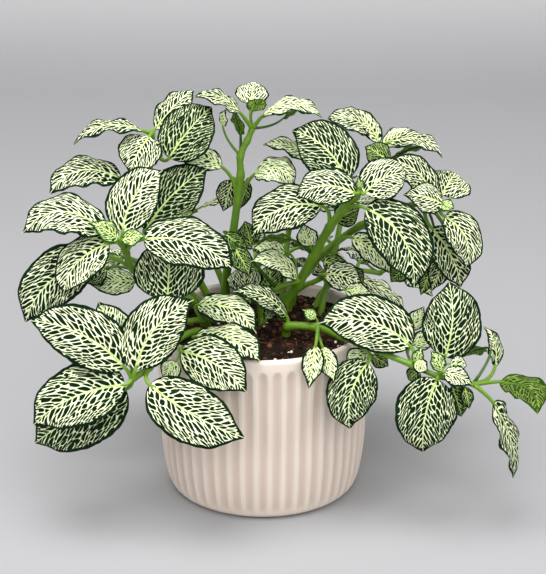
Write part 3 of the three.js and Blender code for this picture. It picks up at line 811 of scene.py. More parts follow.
def add_stem(skin, path, radii, shade):
    """Adds the main stem, swollen at each node and ending in a bud."""
    root = (path[0][0] * ROOT_LEAN, path[0][1] * ROOT_LEAN, ROOT_HEIGHT)
    nodes = [root, *path]
    last = (len(nodes) - 1) * STEPS_PER_SPAN
    shares = np.linspace(0, 1, last + 1)
    centres = catmull_rom(nodes, shares)
    widths = radii[0] + (radii[1] - radii[0]) * shares
    for node in nodes[2:]:
        gap = np.linalg.norm(centres - np.array(node), axis=1)
        widths = widths * (1 + NODE_SWELL * np.exp(-(gap / NODE_REACH) ** 2))
    end = unit(centres[-1] - centres[-2])
    for reach, share in BUD:
        centres = np.concatenate([centres, [centres[last] + end * reach]])
        widths = np.append(widths, widths[last] * share)
    add_tube(skin, centres, widths, STEM_SIDES, 0, shade)


def add_stalk(skin, node, leaf, shade, foliage):
    """Adds a leaf stalk that runs on under the blade as its raised midrib."""
    blade = Blade(leaf)
    thickness = foliage.blade_thickness / MM
    joint = blade.midrib(0)[0]
    start = np.array(node, float)
    start = start + unit(joint - start) * STALK_ROOT
    reach = np.linalg.norm(joint - start)
    lean = joint - blade.tangent(0)[0] * reach * STALK_LEAN
    s = np.linspace(0, 1, STALK_STEPS)[:, None]
    curve = start * (1 - s) ** 2 + lean * 2 * s * (1 - s) + joint * s ** 2
    slim = min(1.0, max(SLIMMEST_STALK, blade.length / SMALL_LEAF))
    widths = (STALK_RADII[0] + (STALK_RADII[1] - STALK_RADII[0]) * s[:, 0] ** STALK_TAPER) * slim
    widths[0] *= STALK_COLLAR
    t = np.linspace(*RIB_REACH, RIB_STEPS)
    rib_width = (RIB_RADII[0] * (1 - t) ** RIB_TAPER + RIB_RADII[1]) * slim
    drop = (thickness + RIB_SINK * (1 - t)) * slim + rib_width * RIB_SINK
    drop = drop + TIP_CURL * blade.length * smooth(CURL_START, 1, t) ** 2
    rib = blade.midrib(t) - blade.face(t) * drop[:, None]
    add_tube(skin, np.concatenate([curve, rib]), np.concatenate([widths, rib_width]), STALK_SIDES, 0, shade)


def draws(seed):
    """An endless row of random shares from 0 to 1, the same as the solid model's."""
    state = seed * DRAW_START
    while True:
        state = math.fmod(state * DRAW_FACTOR + DRAW_STEP, DRAW_RANGE)
        yield state / DRAW_RANGE


def paired_leaves(path, heading, size, seed):
    """Opposite pairs of leaves, each pair turned a quarter round from the last."""
    shares = draws(seed)
    longest, shortening = PAIR_LENGTH
    least, spread = PAIR_UNEVEN
    rows = []
    for node in range(1, len(path)):
        for turn in (0, 180):
            angle = math.radians(heading + 90 * node + turn + PAIR_TURN * (next(shares) - 0.5))
            out = np.array([math.cos(angle), math.sin(angle), 0])
            inward = out[0] * path[node][0] + out[1] * path[node][1] < 0
            length = size * (longest - shortening * node) * (least + spread * next(shares))
            length = length * (INWARD_SHARE if inward else 1)
            base = np.array(path[node], float) + out * PAIR_STALK
            base[2] += PAIR_RISE
            tip = base + out * length
            tip[2] += length * (PAIR_TIP_RISE * next(shares) - (0 if inward else DROOP_OUTWARD))
            tip[2] += INWARD_LIFT if inward else 0
            width, arch = length * PAIR_WIDTH, length * PAIR_ARCH
            rows.append((node, tuple(base), tuple(tip), width, (0, 0, 1), arch, 0))
    return rows


def grow(name, path, radii, leaves, tones, foliage):
    """Builds one leafy stem and stands it in for its solid."""
    skin = Skin()
    seed = sum(ord(letter) for letter in name)
    add_stem(skin, path, radii, STEM_SHADE)
    for number, leaf in enumerate(leaves):
        tone = TONES[tones[number % len(tones)]]
        add_stalk(skin, path[leaf[0]], leaf, tone[2], foliage)
        add_blade(skin, leaf, tone, seed + 7 * number, foliage)
    piece = skin.build(name + "_leafy", foliage_materials(foliage))
    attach(piece, "root")
    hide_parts(name)


# Materials

def add_node(tree, kind, links=None, **settings):
    """Adds a node with its settings, values and links, and returns it."""
    node = tree.nodes.new(kind)
    for key, value in settings.items():
        setattr(node, key, value)
    for key, value in (links or {}).items():
        if isinstance(value, bpy.types.Node):
            value = value.outputs[0]
        if isinstance(value, bpy.types.NodeSocket):
            tree.links.new(value, node.inputs[key])
        else:
            node.inputs[key].default_value = value
    return node


def coarseness(millimetres):
    """Scale of a pattern over object coordinates, from the real size of its patches."""
    return 1 / (millimetres * MM)


def new_material(name, **values):
    """A material with a Principled shader and the given constant values on its sockets."""
    material = bpy.data.materials.new(name)
    material.use_nodes = True
    tree = material.node_tree
    tree.nodes.clear()
    shader = add_node(tree, "ShaderNodeBsdfPrincipled", {k.replace("_", " "): v for k, v in values.items()})
    add_node(tree, "ShaderNodeOutputMaterial", {"Surface": shader})
    return material, tree, shader


def leaf_material(name, foliage, under):
    """Fresh nerve plant leaf: a waxy skin over near-black green tissue, netted by veins that hold no green.

    Side veins part rows of green fields, and short links part the fields of a row. Near the margin all of it
    is finer, and the margin itself is green. Underneath, the net is pale green on green.
    """
    material, tree, shader = new_material(name, Roughness=0.5, IOR=1.42, Specular_IOR_Level=0.1)
    spacing, narrow_rim, wide_rim = in_mm(foliage, "vein_spacing", "narrow_rim", "wide_rim")
    math_node, vector_node, range_node = "ShaderNodeMath", "ShaderNodeVectorMath", "ShaderNodeMapRange"
    flow = add_node(tree, "ShaderNodeAttribute", attribute_name="flow").outputs["Vector"]
    blade = add_node(tree, "ShaderNodeAttribute", attribute_name="blade").outputs["Vector"]
    look = add_node(tree, "ShaderNodeAttribute", attribute_name="look").outputs["Vector"]
    scale = add_node(tree, "ShaderNodeSeparateXYZ", {0: flow}).outputs[2]
    along, off, margin = add_node(tree, "ShaderNodeSeparateXYZ", {0: blade}).outputs
    vein_width, youth, shade = add_node(tree, "ShaderNodeSeparateXYZ", {0: look}).outputs
    if under:
        vein_width = add_node(tree, math_node, {0: vein_width, 1: UNDER_VEINS}, operation="MULTIPLY")

    # Share of the way from the midrib to the margin
    off = add_node(tree, math_node, {0: off}, operation="ABSOLUTE")
    whole = add_node(tree, math_node, {0: off, 1: margin}, operation="ADD")
    edge = add_node(tree, math_node, {0: off, 1: whole}, operation="DIVIDE")

    # Rows of green fields between side veins, whose edges wander
    wander = add_node(tree, "ShaderNodeTexNoise", {
        "Vector": flow, "Scale": spacing / WANDER_PATCH, "Detail": 0.5})
    shift = add_node(
        tree, vector_node, {0: wander.outputs["Color"], 1: (0.5, 0.5, 0.5)}, operation="SUBTRACT")
    place = add_node(tree, vector_node, {0: shift, 1: WANDER, 2: flow}, operation="MULTIPLY_ADD")
    nets = []
    for fineness, width in NETS:
        part = add_node(
            tree, vector_node, {0: place, 1: (fineness, 0.5 + 0.5 * fineness, 0)}, operation="MULTIPLY")
        part = add_node(tree, "ShaderNodeSeparateXYZ", {0: part})
        row = add_node(tree, math_node, {0: part.outputs[0]}, operation="FLOOR")
        chance = add_node(tree, "ShaderNodeTexWhiteNoise", {"W": row}, noise_dimensions="1D")
        slide = {0: chance.outputs[0], 1: ROW_SLIDE, 2: part.outputs[1]}
        slide = add_node(tree, math_node, slide, operation="MULTIPLY_ADD")
        column = add_node(tree, math_node, {0: slide}, operation="FLOOR")
        name_of = add_node(tree, "ShaderNodeCombineXYZ", {0: row, 1: column})
        odds = add_node(tree, "ShaderNodeTexWhiteNoise", {"Vector": name_of}, noise_dimensions="2D")
        # A field is a rounded oblong: the sum of a square across its row and a fourth power along it
        total = 0
        for distance, power in ((part.outputs[0], 2), (slide, 4)):
            from_middle = add_node(tree, math_node, {0: distance, 1: 0.5}, operation="PINGPONG")
            from_middle = add_node(tree, math_node, {0: from_middle, 1: -2, 2: 1}, operation="MULTIPLY_ADD")
            from_middle = add_node(tree, math_node, {0: from_middle, 1: power}, operation="POWER")
            total = add_node(tree, math_node, {0: from_middle, 1: total}, operation="ADD")
        total = add_node(tree, math_node, {0: total}, operation="SQRT")
        half_row = spacing / ROW_SLANT / fineness / 2
        cell = add_node(tree, math_node, {0: total, 1: -half_row, 2: half_row}, operation="MULTIPLY_ADD")
        cell = add_node(tree, math_node, {0: cell, 1: scale}, operation="MULTIPLY")
        limit = add_node(tree, range_node, {
            "Value": odds.outputs[0], "To Min": VEIN_WIDTHS[0] * width, "To Max": VEIN_WIDTHS[1] * width})
        limit = add_node(tree, math_node, {0: limit, 1: vein_width}, operation="MULTIPLY")
        nets.append(add_node(tree, math_node, {0: cell, 1: limit}, operation="SUBTRACT"))
    outer = add_node(tree, math_node, {0: shift, 1: NET_CHANGE_WANDER, 2: edge}, operation="MULTIPLY_ADD")
    outer = add_node(tree, range_node, {"Value": outer, "From Min": NET_CHANGE[0], "From Max": NET_CHANGE[1]})
    net = add_node(tree, "ShaderNodeMix", {0: outer, 2: nets[0], 3: nets[1]})

    # Midrib, then the fields and the dark rim
    rib_limit = add_node(tree, range_node, {"Value": along, "To Min": MIDRIB[0], "To Max": MIDRIB[1]})
    rib_limit = add_node(tree, math_node, {0: rib_limit, 1: scale}, operation="MULTIPLY")
    rib = add_node(tree, math_node, {0: off, 1: rib_limit}, operation="SUBTRACT")
    pale = add_node(tree, math_node, {0: net, 1: rib}, operation="MINIMUM")
    island = add_node(
        tree, range_node, {"Value": pale, "From Min": -FIELD_EDGE, "From Max": FIELD_EDGE},
        interpolation_type="SMOOTHSTEP")
    rim_limit = add_node(tree, range_node, {
        "Value": wander, "From Min": 0.3, "From Max": 0.7, "To Min": narrow_rim, "To Max": wide_rim})
    rim_scale = add_node(tree, math_node, {0: scale, 1: SMALLEST_RIM}, operation="MAXIMUM")
    rim_limit = add_node(tree, math_node, {0: rim_limit, 1: rim_scale}, operation="MULTIPLY")
    rim = add_node(tree, math_node, {0: rim_limit, 1: margin}, operation="SUBTRACT")
    rim = add_node(
        tree, range_node, {"Value": rim, "From Min": -RIM_SOFTNESS, "From Max": RIM_SOFTNESS},
        interpolation_type="SMOOTHSTEP")
    clear = add_node(tree, range_node, {"Value": rib, "From Min": -RIM_SOFTNESS, "From Max": RIM_SOFTNESS})
    rim = add_node(tree, math_node, {0: rim, 1: clear}, operation="MULTIPLY")
    green = add_node(tree, math_node, {0: island, 1: rim}, operation="MAXIMUM")

    # Colours: tissue, then veins, which are lime by the midrib and on young leaves, and darker with painted
    # shade on shaded leaves
    tissue = add_node(tree, "ShaderNodeTexNoise", {
        "Vector": flow, "Scale": spacing / TISSUE_PATCH, "Detail": 3.0})
    near_rib = add_node(tree, range_node, {
        "Value": off, "From Max": LIME_REACH, "To Min": LIME_SHARES[0], "To Max": LIME_SHARES[1]})
    near_foot = add_node(tree, range_node, {
        "Value": along, "From Max": LIME_ALONG,
        "To Min": LIME_ALONG_SHARES[0], "To Max": LIME_ALONG_SHARES[1]})
    lime = add_node(tree, math_node, {0: near_rib, 1: near_foot}, operation="MULTIPLY")
    lime = add_node(tree, math_node, {0: lime, 1: youth}, operation="MAXIMUM")
    veins = [(shade, foliage.painted_shade_veins), (lime, foliage.young_veins)]
    fields = [(tissue, foliage.pale_tissue), (youth, foliage.young_tissue)]
    if under:
        veins.append((UNDER_TINTS[0], foliage.under_veins))
        fields.append((UNDER_TINTS[1], foliage.under_tissue))
    ends = []
    for colour, layers in ((foliage.veins, veins), (foliage.tissue, fields)):
        for share, layer in layers:
            mix = add_node(
                tree, "ShaderNodeMix", {SHARE: share, FIRST: colour, SECOND: layer}, data_type="RGBA")
            colour = mix.outputs[MIXED]
        ends.append(colour)
    skin = add_node(
        tree, "ShaderNodeMix", {SHARE: green, FIRST: ends[0], SECOND: ends[1]}, data_type="RGBA")
    tree.links.new(skin.outputs[MIXED], shader.inputs["Base Color"])

    # The green fields swell a little between the veins, and underneath the veins stand out
    bump = add_node(
        tree, "ShaderNodeBump", {"Height": pale, "Strength": 0.5, "Distance": FIELD_SWELL * MM}, invert=under)
    tree.links.new(bump.outputs[0], shader.inputs["Normal"])
    return material


def stem_material(name, foliage):
    """Fresh green stem: smooth, moist skin with faint streaks along it, painted shade on stems and shaded
    stalks, and a little light passes through.
    """
    material, tree, shader = new_material(
        name, Roughness=0.4, IOR=1.42, Subsurface_Weight=0.15, Subsurface_Scale=0.002)
    shader.inputs["Subsurface Radius"].default_value = (0.5, 1.0, 0.2)
    flow = add_node(tree, "ShaderNodeAttribute", attribute_name="flow").outputs["Vector"]
    look = add_node(tree, "ShaderNodeSeparateXYZ", {0: add_node(
        tree, "ShaderNodeAttribute", attribute_name="look").outputs["Vector"]})
    stretched = add_node(
        tree, "ShaderNodeVectorMath", {0: flow, 1: (1 / STREAK_LENGTH, STREAKS_ROUND, STREAKS_ROUND)},
        operation="MULTIPLY")
    streaks = add_node(tree, "ShaderNodeTexNoise", {"Vector": stretched, "Scale": 1.0, "Detail": 3.0})
    colour = foliage.stem
    # Painted shade darkens the stems and the stalks of shaded leaves
    for share, layer in ((streaks, foliage.pale_stem), (look.outputs[2], foliage.painted_shade_stem)):
        mix = add_node(
            tree, "ShaderNodeMix", {SHARE: share, FIRST: colour, SECOND: layer}, data_type="RGBA")
        colour = mix.outputs[MIXED]
    tree.links.new(colour, shader.inputs["Base Color"])
    bump = add_node(tree, "ShaderNodeBump", {
        "Height": streaks, "Strength": 0.3, "Distance": STREAK_SWELL * MM})
    tree.links.new(bump.outputs[0], shader.inputs["Normal"])
    return material


def stoneware_material(pot):
    """Slip-cast stoneware, satin blush glaze: a soft sheen, faint specks, and deeper colour in the flutes
    from pooled glaze and painted shade.
    """
    material, tree, shader = new_material(
        "Satin glazed stoneware, slip cast", Roughness=0.48, IOR=1.5, Coat_Weight=0.06, Coat_Roughness=0.35)
    place = add_node(tree, "ShaderNodeTexCoord").outputs["Object"]
    cloud = add_node(tree, "ShaderNodeTexNoise", {
        "Vector": place, "Scale": coarseness(GLAZE_CLOUD), "Detail": 4.0})
    depth = add_node(tree, "ShaderNodeSeparateXYZ", {0: add_node(
        tree, "ShaderNodeAttribute", attribute_name="flow").outputs["Vector"]})
    specks = add_node(tree, "ShaderNodeTexNoise", {
        "Vector": place, "Scale": coarseness(CLAY_SPECK), "Detail": 2.0})
    dots = add_node(tree, "ShaderNodeMapRange", {
        "Value": specks, "From Min": 0.68, "From Max": 0.8, "To Max": 0.22})
    colour = pot.deep_glaze
    # The flutes are darkened partly by pooled glaze and partly by painted shade
    for share, layer in ((cloud, pot.glaze), (depth.outputs[0], pot.pooled_glaze_and_shade), (dots, pot.specks)):
        mix = add_node(
            tree, "ShaderNodeMix", {SHARE: share, FIRST: colour, SECOND: layer}, data_type="RGBA")
        colour = mix.outputs[MIXED]
    tree.links.new(colour, shader.inputs["Base Color"])
    bump = add_node(tree, "ShaderNodeBump", {
        "Height": specks, "Strength": 0.12, "Distance": SPECK_SWELL * MM})
    tree.links.new(bump.outputs[0], shader.inputs["Normal"])
    return material


def soil_material(soil):
    """Moist peat and bark potting mix: near-black crumbs with red-brown fibres and a dull, open surface."""
    material, tree, shader = new_material(
        "Moist peat potting mix", Roughness=0.9, IOR=1.4, Specular_IOR_Level=0.2)
    place = add_node(tree, "ShaderNodeTexCoord").outputs["Object"]
    grain = add_node(tree, "ShaderNodeTexNoise", {
        "Vector": place, "Scale": coarseness(PEAT_GRAIN), "Detail": 5.0, "Roughness": 0.65})
    kind = add_node(tree, "ShaderNodeSeparateXYZ", {0: add_node(
        tree, "ShaderNodeAttribute", attribute_name="look").outputs["Vector"]})
    bark, perlite = kind.outputs[:2]
    colour = soil.peat
    for share, layer in ((grain, soil.dry_peat), (bark, soil.bark), (perlite, soil.perlite)):
        mix = add_node(
            tree, "ShaderNodeMix", {SHARE: share, FIRST: colour, SECOND: layer}, data_type="RGBA")
        colour = mix.outputs[MIXED]
    tree.links.new(colour, shader.inputs["Base Color"])
    bump = add_node(tree, "ShaderNodeBump", {"Height": grain, "Strength": 0.8, "Distance": GRAIN_SWELL * MM})
    tree.links.new(bump.outputs[0], shader.inputs["Normal"])
    return material


def paper_material(paper):
    """Matt backdrop paper, even and without sheen; painted light makes it a shade whiter where it rises
    behind the plant.
    """
    material, tree, shader = new_material("Matt backdrop paper", Roughness=0.95)
    place = add_node(tree, "ShaderNodeTexCoord").outputs["Object"]
    cloud = add_node(tree, "ShaderNodeTexNoise", {
        "Vector": place, "Scale": coarseness(PAPER_CLOUD), "Detail": 2.0})
    lighter = (*(min(1.0, channel * PAPER_MOTTLE) for channel in paper[:3]), 1.0)
    # Painted light: the paper is mixed towards white as it rises
    rise = add_node(tree, "ShaderNodeSeparateXYZ", {0: place})
    rise = add_node(tree, "ShaderNodeMapRange", {
        "Value": rise.outputs[2], "From Max": PAINTED_LIGHT_HEIGHT, "To Max": PAINTED_LIGHT_SHARE})
    colour = paper
    for share, layer in ((cloud, lighter), (rise, linear(WHITE))):
        mix = add_node(
            tree, "ShaderNodeMix", {SHARE: share, FIRST: colour, SECOND: layer}, data_type="RGBA")
        colour = mix.outputs[MIXED]
    tree.links.new(colour, shader.inputs["Base Color"])
    return material


def foliage_materials(foliage):
    """The materials of stems, upper faces and undersides, made once and shared by all leafy stems."""
    makers = (
        ("Nerve plant stem, smooth and soft", stem_material, ()),
        ("Nerve plant leaf, waxy upper face", leaf_material, (False,)),
        ("Nerve plant leaf, dull underside", leaf_material, (True,)),
    )
    return [bpy.data.materials.get(name) or make(name, foliage, *rest) for name, make, rest in makers]


# Pot and soil shapes

def outer_radius(z, pot):
    """Radius of the pot's ridges at height z: a rounded lower corner, then a slight flare."""
    height, rim, belly, foot = in_mm(pot, "height", "rim_radius", "belly_radius", "foot_radius")
    left = 1 - np.clip(z / BELLY_HEIGHT, 0, 1)
    corner = foot + (belly - foot) * np.sqrt(1 - left * left)
    share = np.clip((z - BELLY_HEIGHT) / (height - RIM_BAND - BELLY_HEIGHT), 0, 1)
    return np.where(z < BELLY_HEIGHT, corner, belly + (rim - belly) * share ** FLARE_POWER)


def build_pot(pot):
    """A turned vessel with concave flutes that end in round heads under a plain rim band."""
    height, rim, belly, foot, wall, flute_depth = in_mm(
        pot, "height", "rim_radius", "belly_radius", "foot_radius", "wall", "flute_depth")
    top = height - RIM_BAND
    low = BELLY_HEIGHT * (1 - np.cos(np.linspace(0, math.pi / 2, POT_RINGS[0])))
    middle = np.linspace(BELLY_HEIGHT, top - HEAD_ZONE[0], POT_RINGS[1])[1:]
    heads = np.linspace(top - HEAD_ZONE[0], top + HEAD_ZONE[1], POT_RINGS[2])[1:]
    foot_ring = foot - FOOT_EDGE
    # Radius, height and whether fluted, up the outside and down the inside
    profile = [(foot_ring / 2, 0.0, 0), (foot_ring, 0.0, 0), (foot_ring, FOOT_LIFT, 0)]
    profile.append((float(outer_radius(FOOT_LIFT, pot)) - FOOT_BEVEL, FOOT_LIFT, 0))
    for z in (*low, *middle, *heads):
        if z > FOOT_LIFT:
            profile.append((float(outer_radius(z, pot)), float(z), 1))
    profile.append((rim, height - LIP - BAND_EDGE, 0))
    for angle in np.linspace(0, math.pi / 2, LIP_STEPS):
        profile.append((rim - LIP + LIP * math.cos(angle), height - LIP + LIP * math.sin(angle), 0))
    inner = rim - wall
    for angle in np.linspace(math.pi / 2, math.pi, LIP_STEPS):
        profile.append((inner + LIP + LIP * math.cos(angle), height - LIP + LIP * math.sin(angle), 0))
    inner_foot = float(outer_radius(FLOOR, pot)) - wall - CORNER_STEP
    profile += [(inner, top, 0), (belly - wall, BELLY_HEIGHT, 0), (inner_foot, FLOOR, 0)]
    segments = pot.flutes * STEPS_PER_FLUTE
    turn = np.arange(segments) / segments * 2 * math.pi - math.pi / 2
    share = (np.arange(segments) / STEPS_PER_FLUTE + 0.5) % 1 - 0.5
    scoop = np.clip(1 - (share / (FLUTE_SHARE / 2)) ** 2, 0, 1) ** SCOOP_POWER
    rings, flows = [], []
    for radius, z, fluted in profile:
        depth = np.zeros(segments)
        if fluted:
            runout = np.clip((z - top + FLUTE_HEAD) / FLUTE_HEAD, 0, None) ** RUNOUT_POWER
            depth = np.clip(scoop - runout, 0, 1) * smooth(*FLUTE_FOOT, z)
        rings.append(ring(radius - flute_depth * depth, turn, z))
        flows.append(np.stack([depth, np.zeros(segments), np.zeros(segments)], -1))
    points = np.concatenate([*rings, [[0, 0, 0]], [[0, 0, FLOOR]]])
    flow = np.concatenate([*flows, [[0, 0, 0]], [[0, 0, 0]]])
    skin = Skin()
    skin.add(points, ring_faces(len(rings), segments), 0, flow=flow)
    piece = skin.build("fluted_pot", [stoneware_material(pot)])
    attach(piece, "root")
    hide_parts("pot")


def value_noise(x, y, cell, seed):
    """Smooth random heights on a grid of the given cell size."""
    rng = np.random.RandomState(seed)
    table = rng.rand(NOISE_TABLE, NOISE_TABLE)
    gx, gy = x / cell + NOISE_TABLE / 2, y / cell + NOISE_TABLE / 2
    ix, iy = np.floor(gx).astype(int), np.floor(gy).astype(int)
    fx, fy = smooth(0, 1, gx - ix), smooth(0, 1, gy - iy)
    near = [table[(ix + a) % NOISE_TABLE, iy % NOISE_TABLE] for a in (0, 1)]
    far = [table[(ix + a) % NOISE_TABLE, (iy + 1) % NOISE_TABLE] for a in (0, 1)]
    return (near[0] * (1 - fx) + near[1] * fx) * (1 - fy) + (far[0] * (1 - fx) + far[1] * fx) * fy


def soil_height(x, y, radius):
    """Height of the crumbly surface, a little mounded, over a soil of the given radius."""
    far = np.hypot(x, y) / radius
    rough = sum(size * value_noise(x, y, cell, seed) for size, cell, seed in SOIL_LAYERS)
    rough = rough * (1 - EDGE_CALM * smooth(CALM_FROM, 1.0, far))
    return SOIL_LEVEL - SOIL_SINK + SOIL_MOUND * (1 - far) + rough


def icosphere():
    """Corners and faces of a ball with 80 sides."""
    ball = bmesh.new()
    bmesh.ops.create_icosphere(ball, subdivisions=2, radius=1)
    ball.verts.ensure_lookup_table()
    corners = np.array([v.co[:] for v in ball.verts])
    sides = [tuple(v.index for v in f.verts) for f in ball.faces]
    ball.free()
    return corners, sides


def round_place(rng, reach):
    """A random place on a disc of the given radius."""
    far = reach * math.sqrt(rng.random())
    angle = rng.uniform(0, 2 * math.pi)
    return far * math.cos(angle), far * math.sin(angle)


def add_crumbs(skin, count, radius, rng):
    """Adds loose lumps of peat and bark, with a perlite grain now and then."""
    corners, sides = icosphere()
    for number in range(count):
        x, y = round_place(rng, radius * CRUMB_REACH)
        perlite = number % PERLITE_EVERY == 0
        size = rng.uniform(*(PERLITE_SIZES if perlite else CRUMB_SIZES))
        lump = np.array([corner * (1 + CRUMB_UNEVEN * (rng.random() - 0.5)) for corner in corners])
        lump *= size * np.array([rng.uniform(*span) for span in (CRUMB_WIDTHS, CRUMB_WIDTHS, CRUMB_HEIGHTS)])
        lump += (x, y, float(soil_height(x, y, radius)) + CRUMB_LIFT * size)
        kind = (PERLITE_BARK, 1, 0) if perlite else (rng.random() ** BARK_POWER, 0, 0)
        skin.add(lump, sides, 0, look=np.broadcast_to(kind, lump.shape))


def add_fibres(skin, count, radius, rng):
    """Adds loose curved bark fibres."""
    s = np.linspace(-0.5, 0.5, FIBRE_POINTS)
    for _ in range(count):
        x, y = round_place(rng, radius * FIBRE_REACH)
        heading = rng.uniform(0, math.pi)
        length = rng.uniform(*FIBRE_LENGTHS)
        bend = rng.uniform(-FIBRE_BEND, FIBRE_BEND)
        x = x + length * s * math.cos(heading) - bend * s ** 2 * math.sin(heading) * 4
        y = y + length * s * math.sin(heading) + bend * s ** 2 * math.cos(heading) * 4
        if np.hypot(x, y).max() > radius - FIBRE_EDGE_GAP:
            continue
        z = soil_height(x, y, radius) + FIBRE_LIFTS[0] + FIBRE_LIFTS[1] * rng.random()
        widths = np.full(FIBRE_POINTS, rng.uniform(*FIBRE_RADII))
        add_tube(skin, np.stack([x, y, z], -1), widths, FIBRE_SIDES, 0)
        skin.values["look"][-1][:] = (rng.uniform(*FIBRE_BARK), 0, 0)


def build_soil(soil, pot):
    """A crumbly surface with loose crumbs, bark fibres and perlite grains on it, above a plain body."""
    rim, belly, wall = in_mm(pot, "rim_radius", "belly_radius", "wall")
    soil_radius = rim - wall - SOIL_EDGE_GAP
    segments, rings = SOIL_GRID
    turn = np.arange(segments) / segments * 2 * math.pi
    radii = soil_radius * (np.arange(1, rings + 1) / rings) ** SOIL_GRID_POWER
    x = radii[:, None] * np.cos(turn)
    y = radii[:, None] * np.sin(turn)
    surface = np.stack([x, y, soil_height(x, y, soil_radius)], -1).reshape(-1, 3)
    low = FLOOR + SOIL_GAP
    inner_foot = float(outer_radius(FLOOR, pot)) - wall - CORNER_STEP - SOIL_GAP
    inner_belly = belly - wall - SOIL_GAP
    levels = ((soil_radius, SOIL_SHOULDER), (inner_belly, BELLY_HEIGHT), (inner_foot, low))
    body = [ring(radius, turn, height) for radius, height in levels]
    ends = [[0, 0, float(soil_height(0.0, 0.0, soil_radius))], [0, 0, low]]
    # The rings run downwards here, so each face is turned over
    faces = [(face[0], *face[:0:-1]) for face in ring_faces(rings + len(levels), segments)]
    skin = Skin()
    skin.add(np.concatenate([surface, *body, ends]), faces, 0)
    rng = random.Random(SOIL_SEED)
    add_crumbs(skin, soil.crumbs, soil_radius, rng)
    add_fibres(skin, soil.fibres, soil_radius, rng)
    piece = skin.build("potting_soil", [soil_material(soil)])
    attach(piece, "root")
    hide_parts("soil")


# Stage

def build_backdrop(paper):
    """A sheet of paper that lies on the floor and curves up behind the plant."""
    profile = [(BACKDROP_FRONT, 0), (BACKDROP_BACK, 0)]
    for angle in np.linspace(CURVE_START, math.pi / 2, CURVE_STEPS):
        reach, rise = BACKDROP_CURVE * math.sin(angle), BACKDROP_CURVE * math.cos(angle)
        profile.append((BACKDROP_BACK + reach, BACKDROP_CURVE - rise))
    profile.append((BACKDROP_BACK + BACKDROP_CURVE, BACKDROP_TOP))
    points = [(x, y, z) for y, z in profile for x in (-BACKDROP_SIDE, BACKDROP_SIDE)]
    faces = [(2 * i, 2 * i + 1, 2 * i + 3, 2 * i + 2) for i in range(len(profile) - 1)]
    mesh = bpy.data.meshes.new("backdrop")
    mesh.from_pydata(points, [], faces)
    mesh.polygons.foreach_set("use_smooth", [True] * len(faces))
    mesh.materials.append(paper_material(paper))
    backdrop = bpy.data.objects.new("backdrop", mesh)
    bpy.context.scene.collection.objects.link(backdrop)


def add_camera(aim):
    """A camera that looks down at the plant from the front."""
    camera = bpy.data.cameras.new("camera")
    camera.lens = SENSOR * FOCAL_PIXELS / PICTURE_HEIGHT
    camera.sensor_width = SENSOR
    camera.clip_end = CAMERA_REACH
    eye = bpy.data.objects.new("camera", camera)
    pitch = math.radians(CAMERA_PITCH)
    back = Vector((0, -math.cos(pitch), math.sin(pitch)))
    eye.location = aim + back * CAMERA_DISTANCE * MM
    eye.rotation_euler = (-back).to_track_quat("-Z", "Y").to_euler()
    bpy.context.scene.collection.objects.link(eye)
    bpy.context.scene.camera = eye


def light_room(sky):
    """Even light from all round, a little weaker towards the horizon."""
    world = bpy.data.worlds.new("room")
    world.use_nodes = True
    tree = world.node_tree
    place = add_node(tree, "ShaderNodeTexCoord").outputs["Generated"]
    height = add_node(tree, "ShaderNodeSeparateXYZ", {0: place})
    level = add_node(tree, "ShaderNodeMapRange", {
        "Value": height.outputs[2], "From Max": SKY_HEIGHT, "To Min": sky * HORIZON_SHARE, "To Max": sky})
    background = tree.nodes["Background"]
    background.inputs["Color"].default_value = linear(ROOM_LIGHT)
    tree.links.new(level.outputs[0], background.inputs["Strength"])
    bpy.context.scene.world = world


# Settings, operators and panel

def length_setting(name, description, millimetres, most):
    """A length property with its default in millimetres."""
    return bpy.props.FloatProperty(
        name=name, description=description, default=millimetres * MM, min=0, max=most * MM, unit="LENGTH")


def colour_setting(name, description, hex_colour):
    """A colour property with its default as an sRGB hex value."""
    return bpy.props.FloatVectorProperty(
        name=name, description=description, subtype="COLOR", size=4, default=linear(hex_colour), min=0, max=1)


def power_setting(name, description, watts):
    """A property for a lamp's power."""
    return bpy.props.FloatProperty(name=name, description=description, default=watts, min=0, unit="POWER")


class PotSettings(bpy.types.PropertyGroup):
    """Sizes and glaze of the pot"""
    height: length_setting("Height", "Height of the pot, from the frame", POT_TOP.z / MM, 300)
    rim_radius: length_setting("Rim radius", "Outer radius of the rim", 65, 200)
    belly_radius: length_setting("Belly radius", "Outer radius above the rounded corner", 62, 200)
    foot_radius: length_setting("Foot radius", "Radius of the flat foot", 54, 200)
    wall: length_setting("Wall", "Thickness of the wall", 4.5, 12)
    flutes: bpy.props.IntProperty(
        name="Flutes", description="Number of flutes round the pot", default=48, min=12)
    flute_depth: length_setting("Flute depth", "Depth of a flute at its middle", 1.35, 3)
    glaze: colour_setting("Glaze", "Colour of the glaze", "#ebded3")
    deep_glaze: colour_setting("Clouds in the glaze", "Colour where the glaze lies thicker", "#dccdc0")
    # Partly glaze pooled in the flutes and partly painted shade in them
    pooled_glaze_and_shade: colour_setting(
        "Glaze and painted shade in the flutes", "Colour of the glaze where it pooled in the flutes", "#d1bfb1")
    specks: colour_setting("Specks", "Colour of the fine specks of the clay", "#b39c8b")


class SoilSettings(bpy.types.PropertyGroup):
    """Loose pieces and colours of the soil"""
    crumbs: bpy.props.IntProperty(name="Crumbs", description="Number of loose crumbs", default=900, min=0)
    fibres: bpy.props.IntProperty(name="Fibres", description="Number of loose fibres", default=260, min=0)
    peat: colour_setting("Moist peat", "Darkest colour of the peat", "#050302")
    dry_peat: colour_setting("Dry peat", "Lightest colour of the peat", "#281911")
    bark: colour_setting("Bark", "Colour of bark lumps and fibres", "#6e4831")
    perlite: colour_setting("Perlite", "Colour of the perlite grains", "#e6ded0")


